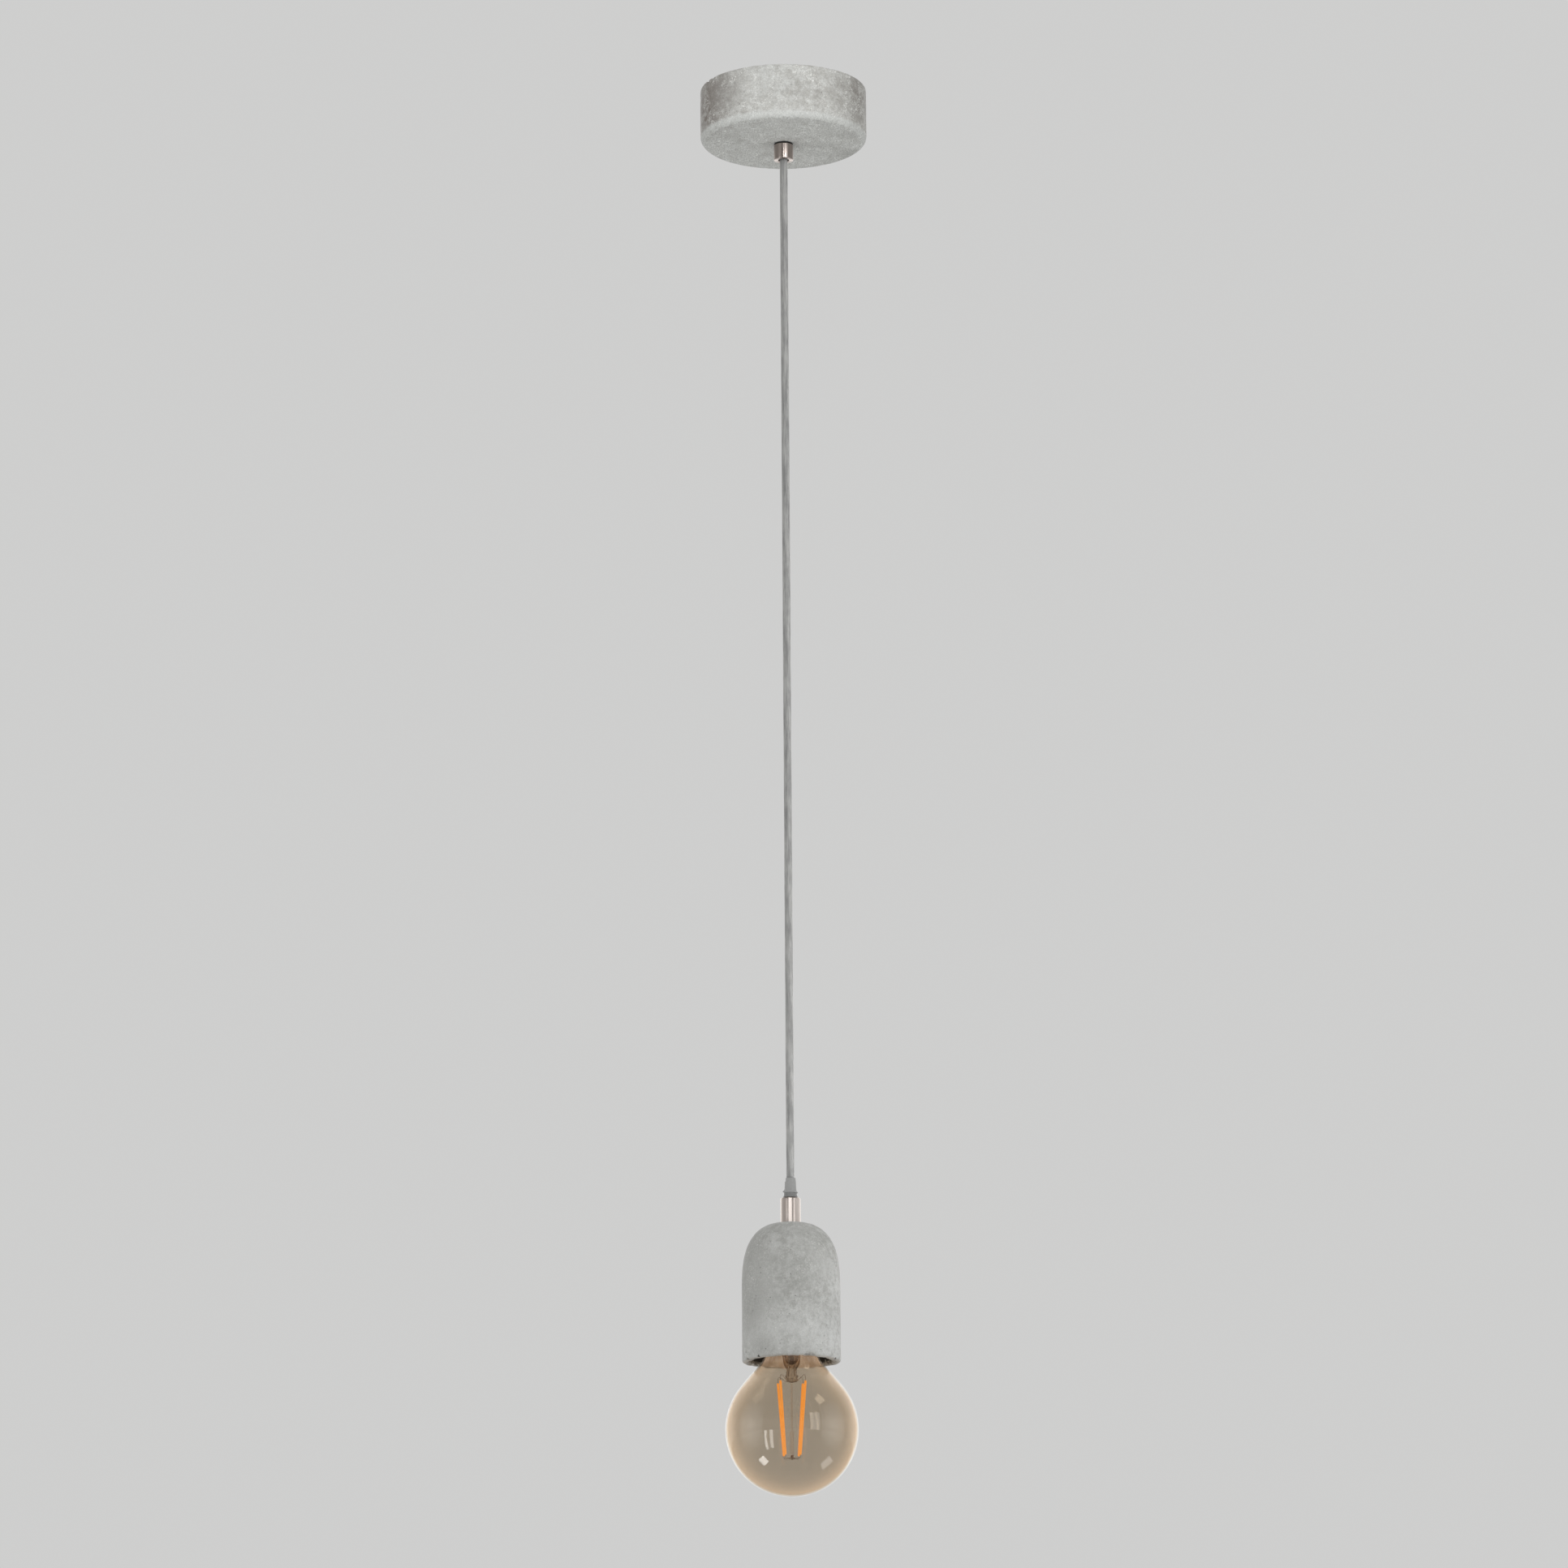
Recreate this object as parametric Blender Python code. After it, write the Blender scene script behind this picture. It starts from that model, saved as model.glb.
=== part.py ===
"""Pendant ceiling light: a concrete canopy, a cord, and a concrete cup with a globe filament bulb.

Metres, +Z up. The origin is the centre of the canopy's rim, in the plane of the ceiling, so the
whole light hangs below z = 0. Canopy, cord, cup and bulb share the vertical axis x = y = 0.
"""

from math import acos, cos, pi, radians, sin, sqrt

import bmesh
import bpy
from mathutils import Matrix, Vector

# Clearance between two pieces that touch.
GAP = 0.0003

# Segments round a turned piece, by its size.
LARGE, MIDDLE, SMALL, TINY = 40, 28, 20, 12

# Canopy: a concrete cup turned over the wiring, with a rounded lower edge.
CANOPY_RADIUS = 0.0525
CANOPY_HEIGHT = 0.0347
CANOPY_WALL = 0.0050
CANOPY_FLOOR = 0.0062
CANOPY_EDGE = 0.0047

# Threaded tube, 10 mm across, and what fits round it.
THREAD_RADIUS = 0.0050
TUBE_BORE = 0.0036
THREAD_HOLE = THREAD_RADIUS + GAP
NUT_ACROSS_FLATS = 0.0140
NUT_HEIGHT = 0.0035

# Ceiling bracket: a strap bent like a bridge, with its feet on the ceiling.
STRAP_HALF_WIDTH = 0.0080
STRAP_THICKNESS = 0.0015
STRAP_HALF_LENGTH = 0.0450
STRAP_FOOT_START = 0.0330
STRAP_BRIDGE_END = 0.0290
STRAP_DROP = 0.0120
SLOT_CENTRE = 0.0390
SLOT_LENGTH = 0.0080
SLOT_RADIUS = 0.0022
EARTH_SCREW_X = -0.0170
SMALL_SCREW_RADIUS = 0.0015

# Terminal block under the strap, long side across it.
BLOCK_LOW = Vector((0.0135, -0.0140, -0.0258))
BLOCK_HIGH = Vector((0.0285, 0.0140, -0.0138))
POLE_SPACING = 0.0090
CLAMP_SCREW_COLUMNS = (0.0172, 0.0248)
CLAMP_SCREW_RADIUS = 0.0017
WIRE_HOLE_RADIUS = 0.0014
BLOCK_SCREW_PLACE = (0.0210, 0.0045)

# Conductors.
WIRE_RADIUS = 0.00075

# Hanger tube, gasket, grip sleeve and clamp bush.
HANGER_TOP = -0.0070
HANGER_BOTTOM = -0.0390
GASKET_HEIGHT = 0.0005
GRIP_RADIUS = 0.0061
GRIP_BOTTOM = -0.0455
GRIP_RING = 0.0010
GRIP_HOLE = 0.0034
BUSH_HEIGHT = 0.0027

# Cord, straight and vertical, and the heights that it bends at.
CORD_RADIUS = 0.0025
CORD_POINT_STEP = 5 * CORD_RADIUS
CORD_TOP = -0.0055
SWING_Z = GRIP_BOTTOM + GRIP_RING / 2
SIDE_SWING_Z = SWING_Z - 0.0250
TILT_Z = -0.6930

# Strain relief and collar above the cup.
RELIEF_TOP = TILT_Z - 0.0012
RELIEF_BORE = CORD_RADIUS + GAP
RELIEF_SHANK = 0.0035
COLLAR_TOP = -0.7065
COLLAR_BOTTOM = -0.7219
COLLAR_RADIUS = 0.00615
COLLAR_LIP = 0.0015
HOLDER_TUBE_TOP = -0.7095
HOLDER_TUBE_BOTTOM = -0.7415

# Cup: a straight wall under a dome of nearly elliptical section.
CUP_RADIUS = 0.0291
CUP_TOP = COLLAR_BOTTOM - GAP
CUP_RIM = -0.8062
CUP_WALL = 0.0040
CUP_ROOF = 0.0065
CUP_SEAT = 0.0105
DOME_HEIGHT = 0.0410
DOME_POWER = 2.8
DOME_ROUNDNESS = 2.9

# Lampholder inside the cup.
HOLDER_RADIUS = 0.0190
HOLDER_WALL = 0.0018
HOLDER_CAP_TOP = -0.7345
HOLDER_CAP_BOTTOM = -0.7500
HOLDER_BODY_BOTTOM = -0.7930
SCREW_SHELL_RADIUS = 0.0143
SCREW_SHELL_WALL = 0.0007
BASE_TOP = -0.7525
BASE_BOTTOM = -0.7628
BASE_RADIUS = 0.0168
TERMINAL_X = 0.0110
CONTACT_TIP = -0.7662
CONTACT_TOP = -0.7641

# Bulb: an 80 mm globe on a 26 mm screw cap.
GLOBE_RADIUS = 0.0400
GLOBE_Z = -0.8468
GLASS_THICKNESS = 0.0008
NECK_FILLET = 0.0450
NECK_RADIUS = 0.0122
CAP_RADIUS = 0.01295
CAP_RIM = -0.7930
CAP_SHOULDER = -0.7745
CAP_TOP = -0.7706
BULB_TIP = -0.7665
FILAMENT_COUNT = 4
FILAMENT_TURN = radians(-39)
FILAMENT_TOP = (0.0108, -0.8172)
FILAMENT_FOOT = (0.0063, -0.8632)
FILAMENT_RADIUS = 0.00075
PINCH_BOTTOM = -0.8186
ANCHOR_Z = -0.8640

# Colour, roughness and metallic value of each finish.
FINISHES = {
    "concrete": ((0.33, 0.32, 0.30), 0.85, 0.0),
    "brushed_nickel": ((0.62, 0.57, 0.53), 0.32, 1.0),
    "galvanised_steel": ((0.55, 0.56, 0.57), 0.42, 1.0),
    "brass": ((0.72, 0.55, 0.26), 0.30, 1.0),
    "dark_rubber": ((0.02, 0.02, 0.02), 0.70, 0.0),
    "grey_cord": ((0.24, 0.24, 0.24), 0.50, 0.0),
    "grey_nylon": ((0.22, 0.22, 0.21), 0.45, 0.0),
    "white_nylon": ((0.80, 0.79, 0.76), 0.45, 0.0),
    "black_phenolic": ((0.03, 0.03, 0.03), 0.35, 0.0),
    "white_ceramic": ((0.82, 0.81, 0.77), 0.25, 0.0),
    "brown_insulation": ((0.20, 0.08, 0.03), 0.45, 0.0),
    "blue_insulation": ((0.03, 0.14, 0.42), 0.45, 0.0),
    "earth_insulation": ((0.25, 0.45, 0.08), 0.45, 0.0),
    "amber_glass": ((0.72, 0.50, 0.27), 0.04, 0.0),
    "clear_glass": ((0.86, 0.84, 0.80), 0.05, 0.0),
    "filament_coating": ((0.84, 0.30, 0.05), 0.50, 0.0),
    "board_green": ((0.05, 0.20, 0.10), 0.50, 0.0),
}


# ---------------------------------------------------------------- helpers


def clear_scene():
    for old in list(bpy.data.objects):
        bpy.data.objects.remove(old, do_unlink=True)


def finish_material(name):
    """One Principled material for each finish, made when it is first asked for."""
    made = bpy.data.materials.get(name)
    if made:
        return made
    colour, roughness, metallic = FINISHES[name]
    made = bpy.data.materials.new(name)
    made.use_nodes = True
    shader = made.node_tree.nodes["Principled BSDF"]
    shader.inputs["Base Color"].default_value = (*colour, 1.0)
    shader.inputs["Roughness"].default_value = roughness
    shader.inputs["Metallic"].default_value = metallic
    return made


def pivot(name, height, parent=None):
    """An empty on the light's axis, at the height of a joint."""
    empty = bpy.data.objects.new(name, None)
    empty.empty_display_size = 0.02
    bpy.context.collection.objects.link(empty)
    empty.matrix_world = Matrix.Translation((0, 0, height))
    if parent:
        hang(empty, parent)
    return empty


def hang(piece, parent):
    """Parent a piece to a joint's empty and leave it where it is."""
    bpy.context.view_layer.update()
    piece.parent = parent
    piece.matrix_parent_inverse = parent.matrix_world.inverted()


def add_mesh(name, form, finish, parent):
    """Turn a finished bmesh, in world metres, into a named piece."""
    bmesh.ops.recalc_face_normals(form, faces=form.faces)
    mesh = bpy.data.meshes.new(name)
    form.to_mesh(mesh)
    form.free()
    mesh.shade_smooth()
    mesh.set_sharp_from_angle(angle=radians(35))
    mesh.materials.append(finish_material(finish))
    piece = bpy.data.objects.new(name, mesh)
    bpy.context.collection.objects.link(piece)
    if parent:
        hang(piece, parent)
    return piece


def arc(centre, radius, start, end, count):
    """Points of a circular arc in (radius, height), its angles in degrees from the +radius side."""
    angles = [radians(start + (end - start) * i / (count - 1)) for i in range(count)]
    return [(centre[0] + radius * cos(a), centre[1] + radius * sin(a)) for a in angles]


def turned(name, outline, finish, parent=None, segments=SMALL, axis_place=(0, 0)):
    """Turn an outline of (radius, height) points about a vertical axis into one closed piece.

    An outline with both ends on the axis is a solid or a bowl, and any other closes into a ring.
    """
    form = bmesh.new()
    points = [form.verts.new((radius, 0, height)) for radius, height in outline]
    pairs = list(zip(points, points[1:]))
    if outline[0][0] > 0:
        pairs.append((points[-1], points[0]))
    edges = [form.edges.new(pair) for pair in pairs]
    bmesh.ops.spin(
        form, geom=points + edges, axis=(0, 0, 1), cent=(0, 0, 0), steps=segments, angle=2 * pi
    )
    bmesh.ops.remove_doubles(form, verts=form.verts, dist=1e-6)
    bmesh.ops.translate(form, verts=form.verts, vec=(*axis_place, 0))
    return add_mesh(name, form, finish, parent)


def washer(name, bore, radius, top, bottom, finish, parent=None, segments=SMALL):
    """A plain ring of square section."""
    outline = [(radius, top), (radius, bottom), (bore, bottom), (bore, top)]
    return turned(name, outline, finish, parent, segments)


def disc(name, radius, top, bottom, finish, parent=None, segments=TINY, axis_place=(0, 0)):
    """A plain solid cylinder."""
    outline = [(0, top), (radius, top), (radius, bottom), (0, bottom)]
    return turned(name, outline, finish, parent, segments, axis_place)


def hex_nut(name, top, finish, parent=None):
    """A hexagon nut on the light's axis, with a plain hole."""
    form = bmesh.new()
    loops = []
    for height in (top, top - NUT_HEIGHT):
        for outside in (True, False):
            loop = []
            for step in range(TINY):
                angle = 2 * pi * step / TINY
                from_flat = (angle + pi / 6) % (pi / 3) - pi / 6
                radius = NUT_ACROSS_FLATS / 2 / cos(from_flat) if outside else THREAD_HOLE
                loop.append(form.verts.new((radius * cos(angle), radius * sin(angle), height)))
            loops.append(loop)
    outer_top, inner_top, outer_low, inner_low = loops
    walls = (
        (outer_top, outer_low), (outer_low, inner_low), (inner_low, inner_top), (inner_top, outer_top)
    )
    for first, second in walls:
        for step in range(TINY):
            after = (step + 1) % TINY
            form.faces.new((first[step], first[after], second[after], second[step]))
    return add_mesh(name, form, finish, parent)


def plate(name, outline, half_width, finish, parent=None):
    """An outline of (x, z) points extruded to both sides along Y."""
    form = bmesh.new()
    face = form.faces.new([form.verts.new((x, -half_width, z)) for x, z in outline])
    grown = bmesh.ops.extrude_face_region(form, geom=[face])["geom"]
    moved = [item for item in grown if isinstance(item, bmesh.types.BMVert)]
    bmesh.ops.translate(form, verts=moved, vec=(0, 2 * half_width, 0))
    return add_mesh(name, form, finish, parent)


def cylinder_into(form, centre, axis, radius, length, segments=TINY):
    """Add a cylinder to a bmesh, its middle at centre and its length along axis."""
    turn = Vector((0, 0, 1)).rotation_difference(Vector(axis)).to_matrix().to_4x4()
    bmesh.ops.create_cone(
        form, cap_ends=True, segments=segments, radius1=radius, radius2=radius, depth=length,
        matrix=Matrix.Translation(centre) @ turn,
    )


def combine(piece, tool, operation):
    """Cut or join with a tool that stays out of the model."""
    tool.hide_render = True
    tool.display_type = "WIRE"
    change = piece.modifiers.new(tool.name, "BOOLEAN")
    change.operation = operation
    change.object = tool


def smooth_route(stations, steps):
    """Points of a smooth curve through the stations, with a number of steps between each two."""
    ends = [stations[0]] + list(stations) + [stations[-1]]
    route = []
    for before, here, there, after in zip(ends, ends[1:], ends[2:], ends[3:]):
        p, q, r, s = (Vector(point) for point in (before, here, there, after))
        for step in range(steps):
            t = step / steps
            bend = (r - p) * t + (2 * p - 5 * q + 4 * r - s) * t**2 + (3 * q - p - 3 * r + s) * t**3
            route.append(q + bend / 2)
    return route + [Vector(stations[-1])]


def tube(name, route, radius, finish, parent=None, widths=None):
    """A round tube along a route, with closed ends; widths scale its radius point by point."""
    curve = bpy.data.curves.new(name, "CURVE")
    curve.dimensions = "3D"
    curve.bevel_depth = radius
    curve.bevel_resolution = 2
    curve.use_fill_caps = True
    curve.materials.append(finish_material(finish))
    spline = curve.splines.new("POLY")
    spline.points.add(len(route) - 1)
    for index, place in enumerate(route):
        spline.points[index].co = (*place, 1)
        spline.points[index].radius = widths[index] if widths else 1
    piece = bpy.data.objects.new(name, curve)
    bpy.context.collection.objects.link(piece)
    if parent:
        hang(piece, parent)
    return piece


def cord_length(name, top, bottom, parent=None, round_top=False, round_bottom=False):
    """A straight stretch of the cord. A round end is a ball centred on the joint it turns about."""
    ball = [radians(angle) for angle in (75, 55, 30)]
    route, widths = [], []
    if round_top:
        route += [(0, 0, top + CORD_RADIUS * sin(angle)) for angle in ball]
        widths += [cos(angle) for angle in ball]
    steps = max(2, round((top - bottom) / CORD_POINT_STEP))
    route += [(0, 0, top + (bottom - top) * step / steps) for step in range(steps + 1)]
    widths += [1] * (steps + 1)
    if round_bottom:
        route += [(0, 0, bottom - CORD_RADIUS * sin(angle)) for angle in reversed(ball)]
        widths += [cos(angle) for angle in reversed(ball)]
    return tube(name, route, CORD_RADIUS, "grey_cord", parent, widths)


# ---------------------------------------------------------------- canopy and its fixing


def canopy_shell():
    floor = CANOPY_FLOOR - CANOPY_HEIGHT
    inside = CANOPY_RADIUS - CANOPY_WALL
    edge_centre = (CANOPY_RADIUS - CANOPY_EDGE, CANOPY_EDGE - CANOPY_HEIGHT)
    corner = 0.0020
    outline = [(CANOPY_RADIUS, 0)]
    outline += arc(edge_centre, CANOPY_EDGE, 0, -90, 6)
    outline += [(THREAD_HOLE, -CANOPY_HEIGHT), (THREAD_HOLE, floor)]
    outline += arc((inside - corner, floor + corner), corner, -90, 0, 3)
    outline += [(inside, 0)]
    turned("canopy_shell", outline, "concrete", segments=LARGE)


def ceiling_bracket():
    """The strap in side view, its feet up against the ceiling and its bridge hanging below."""
    low = STRAP_THICKNESS
    half = [
        (STRAP_BRIDGE_END, -STRAP_DROP), (STRAP_FOOT_START, 0), (STRAP_HALF_LENGTH, 0),
        (STRAP_HALF_LENGTH, -low), (STRAP_FOOT_START + low, -low),
        (STRAP_BRIDGE_END + low, -STRAP_DROP - low),
    ]
    outline = half + [(-x, z) for x, z in reversed(half)]
    strap = plate("ceiling_bracket", outline, STRAP_HALF_WIDTH, "galvanised_steel")
    holes = bmesh.new()
    bridge = -STRAP_DROP - STRAP_THICKNESS / 2
    up = (0, 0, 1)
    deep = 4 * STRAP_THICKNESS
    cylinder_into(holes, (0, 0, bridge), up, THREAD_HOLE, deep, SMALL)
    clear = SMALL_SCREW_RADIUS + GAP
    cylinder_into(holes, (EARTH_SCREW_X, 0, bridge), up, clear, deep)
    cylinder_into(holes, (*BLOCK_SCREW_PLACE, bridge), up, clear, deep)
    combine(strap, add_mesh("strap_holes", holes, "galvanised_steel", None), "DIFFERENCE")
    for side in (-1, 1):
        slot = bmesh.new()
        bmesh.ops.create_cube(slot, size=1)
        reach = (SLOT_LENGTH, 2 * SLOT_RADIUS, deep)
        bmesh.ops.scale(slot, vec=reach, verts=slot.verts)
        uprights = [e for e in slot.edges if abs(e.verts[0].co.z - e.verts[1].co.z) > deep / 2]
        bmesh.ops.bevel(
            slot, geom=uprights, offset=SLOT_RADIUS * 0.95, segments=3, affect="EDGES", profile=0.5
        )
        place = (side * SLOT_CENTRE, 0, -STRAP_THICKNESS / 2)
        bmesh.ops.translate(slot, verts=slot.verts, vec=place)
        label = "slot_left" if side < 0 else "slot_right"
        combine(strap, add_mesh(label, slot, "galvanised_steel", None), "DIFFERENCE")


def hanger():
    washer(
        "hanger_tube", TUBE_BORE, THREAD_RADIUS, HANGER_TOP, HANGER_BOTTOM, "galvanised_steel"
    )
    hex_nut("hanger_nut_upper", -STRAP_DROP + GAP + NUT_HEIGHT, "galvanised_steel")
    hex_nut("hanger_nut_lower", -STRAP_DROP - STRAP_THICKNESS - GAP, "galvanised_steel")


def cord_grip():
    """Gasket, sleeve with its bright end ring, and the bush inside that clamps the cord."""
    gasket_top = -CANOPY_HEIGHT - GAP
    washer(
        "grip_gasket", THREAD_HOLE, GRIP_RADIUS - 0.0002, gasket_top, gasket_top - GASKET_HEIGHT,
        "dark_rubber", segments=MIDDLE,
    )
    sleeve_top = gasket_top - GASKET_HEIGHT - GAP
    ring_top = GRIP_BOTTOM + GRIP_RING
    outline = [
        (GRIP_RADIUS, sleeve_top), (GRIP_RADIUS, GRIP_BOTTOM + 0.0003),
        (GRIP_RADIUS - 0.0003, GRIP_BOTTOM), (GRIP_HOLE, GRIP_BOTTOM), (GRIP_HOLE, ring_top),
        (THREAD_HOLE, ring_top), (THREAD_HOLE, sleeve_top),
    ]
    turned("grip_sleeve", outline, "brushed_nickel", segments=MIDDLE)
    bush_top = HANGER_BOTTOM - GAP
    washer(
        "clamp_bush", CORD_RADIUS + GAP, THREAD_RADIUS, bush_top, bush_top - BUSH_HEIGHT,
        "white_nylon",
    )


def terminal_block():
    block = bmesh.new()
    bmesh.ops.create_cube(block, size=1)
    bmesh.ops.scale(block, vec=BLOCK_HIGH - BLOCK_LOW, verts=block.verts)
    bmesh.ops.bevel(block, geom=block.edges[:], offset=0.0008, segments=1, affect="EDGES")
    bmesh.ops.translate(block, verts=block.verts, vec=(BLOCK_HIGH + BLOCK_LOW) / 2)
    body = add_mesh("terminal_block", block, "white_nylon", None)

    middle = (BLOCK_HIGH + BLOCK_LOW) / 2
    holes = bmesh.new()
    pocket = 0.0035
    count = 0
    for pole in (-1, 0, 1):
        across = pole * POLE_SPACING
        cylinder_into(holes, (middle.x, across, middle.z), (1, 0, 0), WIRE_HOLE_RADIUS, 0.03, 8)
        for column in CLAMP_SCREW_COLUMNS:
            cylinder_into(
                holes, (column, across, BLOCK_LOW.z), (0, 0, 1), CLAMP_SCREW_RADIUS + GAP,
                2 * pocket, 10,
            )
            count += 1
            disc(
                f"clamp_screw_{count}", CLAMP_SCREW_RADIUS, BLOCK_LOW.z + pocket - GAP,
                BLOCK_LOW.z + 0.0007, "brass", segments=10, axis_place=(column, across),
            )
    screw_hole = SMALL_SCREW_RADIUS + GAP
    cylinder_into(holes, (*BLOCK_SCREW_PLACE, middle.z), (0, 0, 1), screw_hole, 0.03, 10)
    combine(body, add_mesh("block_holes", holes, "white_nylon", None), "DIFFERENCE")

    head = 0.0026
    head_top = BLOCK_LOW.z - GAP
    stem_top = -STRAP_DROP + 0.0020
    outline = [
        (0, stem_top), (SMALL_SCREW_RADIUS, stem_top), (SMALL_SCREW_RADIUS, head_top),
        (head, head_top), (head, head_top - 0.0010), (head - 0.0010, head_top - 0.0018),
        (0, head_top - 0.0018),
    ]
    turned(
        "block_screw", outline, "galvanised_steel", segments=TINY, axis_place=BLOCK_SCREW_PLACE
    )


def earth_screw():
    """A pan head screw through the strap, which holds the earth conductor's end."""
    head_low = -STRAP_DROP + GAP
    tip = -STRAP_DROP - 0.0050
    outline = [
        (0, head_low + 0.0022), (0.0020, head_low + 0.0020), (0.0030, head_low + 0.0010),
        (0.0030, head_low), (SMALL_SCREW_RADIUS, head_low), (SMALL_SCREW_RADIUS, tip), (0, tip),
    ]
    turned("earth_screw", outline, "brass", segments=TINY, axis_place=(EARTH_SCREW_X, 0))


def canopy_wiring():
    """The cord's end in the hanger tube and its three conductors."""
    cord_length("cord_in_canopy", CORD_TOP, SWING_Z + CORD_RADIUS + GAP)
    start = CORD_TOP + GAP
    wire_height = (BLOCK_HIGH.z + BLOCK_LOW.z) / 2
    for name, side, finish in (
        ("conductor_live", -1, "brown_insulation"),
        ("conductor_neutral", 1, "blue_insulation"),
    ):
        stations = [
            (0.0008, side * 0.0011, start), (0.0012, side * 0.0022, -0.0032),
            (0.0030, side * 0.0070, -0.0027), (0.0055, side * 0.0108, -0.0070),
            (0.0080, side * 0.0112, -0.0145), (0.0105, side * 0.0098, wire_height + 0.0012),
            (BLOCK_LOW.x + 0.0030, side * POLE_SPACING, wire_height),
        ]
        tube(name, smooth_route(stations, 3), WIRE_RADIUS, finish)
    stations = [
        (-0.0012, 0, start), (-0.0030, 0, -0.0030), (-0.0075, 0, -0.0028),
        (-0.0110, 0, -0.0055), (-0.0131, 0, -0.0105),
    ]
    tube("conductor_earth", smooth_route(stations, 3), WIRE_RADIUS, "earth_insulation")


# ---------------------------------------------------------------- strain relief and collar


def strain_relief(parent):
    """A tapered grey piece round the cord, with a small flange above the collar."""
    outline = [
        (0.0033, RELIEF_TOP), (0.0034, RELIEF_TOP - 0.0010), (0.0037, RELIEF_TOP - 0.0022),
        (0.0038, RELIEF_TOP - 0.0066), (0.0041, RELIEF_TOP - 0.0082),
        (0.0046, RELIEF_TOP - 0.0092), (0.0046, RELIEF_TOP - 0.0102),
        (0.0042, RELIEF_TOP - 0.0108), (0.0046, COLLAR_TOP + GAP),
        (RELIEF_SHANK, COLLAR_TOP + GAP), (RELIEF_SHANK, HOLDER_TUBE_TOP + GAP),
        (RELIEF_BORE, HOLDER_TUBE_TOP + GAP), (RELIEF_BORE, RELIEF_TOP),
    ]
    turned("strain_relief", outline, "grey_nylon", parent)


def collar(parent):
    lip = COLLAR_TOP - COLLAR_LIP
    edge = 0.0008
    outline = [(COLLAR_RADIUS, COLLAR_BOTTOM)]
    outline += arc((COLLAR_RADIUS - edge, COLLAR_TOP - edge), edge, 0, 90, 4)
    outline += [
        (RELIEF_SHANK + GAP, COLLAR_TOP), (RELIEF_SHANK + GAP, lip), (THREAD_HOLE, lip),
        (THREAD_HOLE, COLLAR_BOTTOM),
    ]
    turned("collar", outline, "brushed_nickel", parent, MIDDLE)


# ---------------------------------------------------------------- cup and lampholder


def dome(radius, top, depth, count):
    """The cup's outline from its top edge down to where its wall is straight."""
    points = []
    for step in range(count):
        t = step / (count - 1)
        down = depth * t**1.6
        points.append((dome_radius(radius, down / depth), top - down))
    return points


def dome_radius(radius, fraction):
    """Radius of the dome at a fraction of its depth below its flat top."""
    height = 1 - fraction
    return radius * (1 - height**DOME_POWER) ** (1 / DOME_ROUNDNESS)


def cup(parent):
    outside = dome(CUP_RADIUS, CUP_TOP, DOME_HEIGHT, 10)
    inside_top = CUP_TOP - CUP_ROOF
    inside = dome(CUP_RADIUS - CUP_WALL, inside_top, DOME_HEIGHT - CUP_ROOF, 7)
    edge = 0.0006
    outline = [(THREAD_HOLE, CUP_TOP)] + [p for p in outside if p[0] > THREAD_HOLE]
    outline += [
        (CUP_RADIUS, CUP_RIM + edge), (CUP_RADIUS - edge, CUP_RIM),
        (CUP_RADIUS - CUP_WALL + edge, CUP_RIM), (CUP_RADIUS - CUP_WALL, CUP_RIM + edge),
    ]
    outline += [p for p in reversed(inside) if p[0] > CUP_SEAT]
    outline += [(CUP_SEAT, inside_top), (THREAD_HOLE, inside_top)]
    turned("shade_cup", outline, "concrete", parent, LARGE)


def cup_fixing(parent):
    washer(
        "holder_tube", TUBE_BORE, THREAD_RADIUS, HOLDER_TUBE_TOP, HOLDER_TUBE_BOTTOM,
        "galvanised_steel", parent,
    )
    washer_top = CUP_TOP - CUP_ROOF - GAP
    washer(
        "cup_washer", THREAD_HOLE, 0.0095, washer_top, washer_top - 0.0010, "galvanised_steel",
        parent,
    )
    hex_nut("holder_nut", washer_top - 0.0010 - GAP, "galvanised_steel", parent)


def lampholder(parent):
    inner = HOLDER_RADIUS - HOLDER_WALL
    shoulder = 0.0110
    crown = HOLDER_CAP_TOP - 0.0040
    outline = [(THREAD_HOLE, HOLDER_CAP_TOP), (0.0080, HOLDER_CAP_TOP)]
    outline += arc((HOLDER_RADIUS - shoulder, HOLDER_CAP_TOP - shoulder), shoulder, 90, 0, 5)[1:]
    outline += [(HOLDER_RADIUS, HOLDER_CAP_BOTTOM), (inner, HOLDER_CAP_BOTTOM)]
    outline += [(inner, crown - 0.0070), (inner - 0.0030, crown - 0.0025), (0.0100, crown)]
    outline += [(THREAD_HOLE, crown)]
    turned("holder_cap", outline, "black_phenolic", parent, MIDDLE)

    body_top = HOLDER_CAP_BOTTOM - GAP
    lip = 0.0152
    outline = [
        (HOLDER_RADIUS, body_top), (HOLDER_RADIUS, HOLDER_BODY_BOTTOM + 0.0006),
        (HOLDER_RADIUS - 0.0006, HOLDER_BODY_BOTTOM), (lip, HOLDER_BODY_BOTTOM),
        (lip, HOLDER_BODY_BOTTOM + 0.0013), (inner, HOLDER_BODY_BOTTOM + 0.0013),
        (inner, body_top),
    ]
    turned("holder_body", outline, "black_phenolic", parent, MIDDLE)
    washer(
        "screw_shell", SCREW_SHELL_RADIUS - SCREW_SHELL_WALL, SCREW_SHELL_RADIUS,
        BASE_BOTTOM - GAP, HOLDER_BODY_BOTTOM + 0.0020, "brass", parent, MIDDLE,
    )
    washer("contact_base", 0.0032, BASE_RADIUS, BASE_TOP, BASE_BOTTOM, "white_ceramic", parent)


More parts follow.
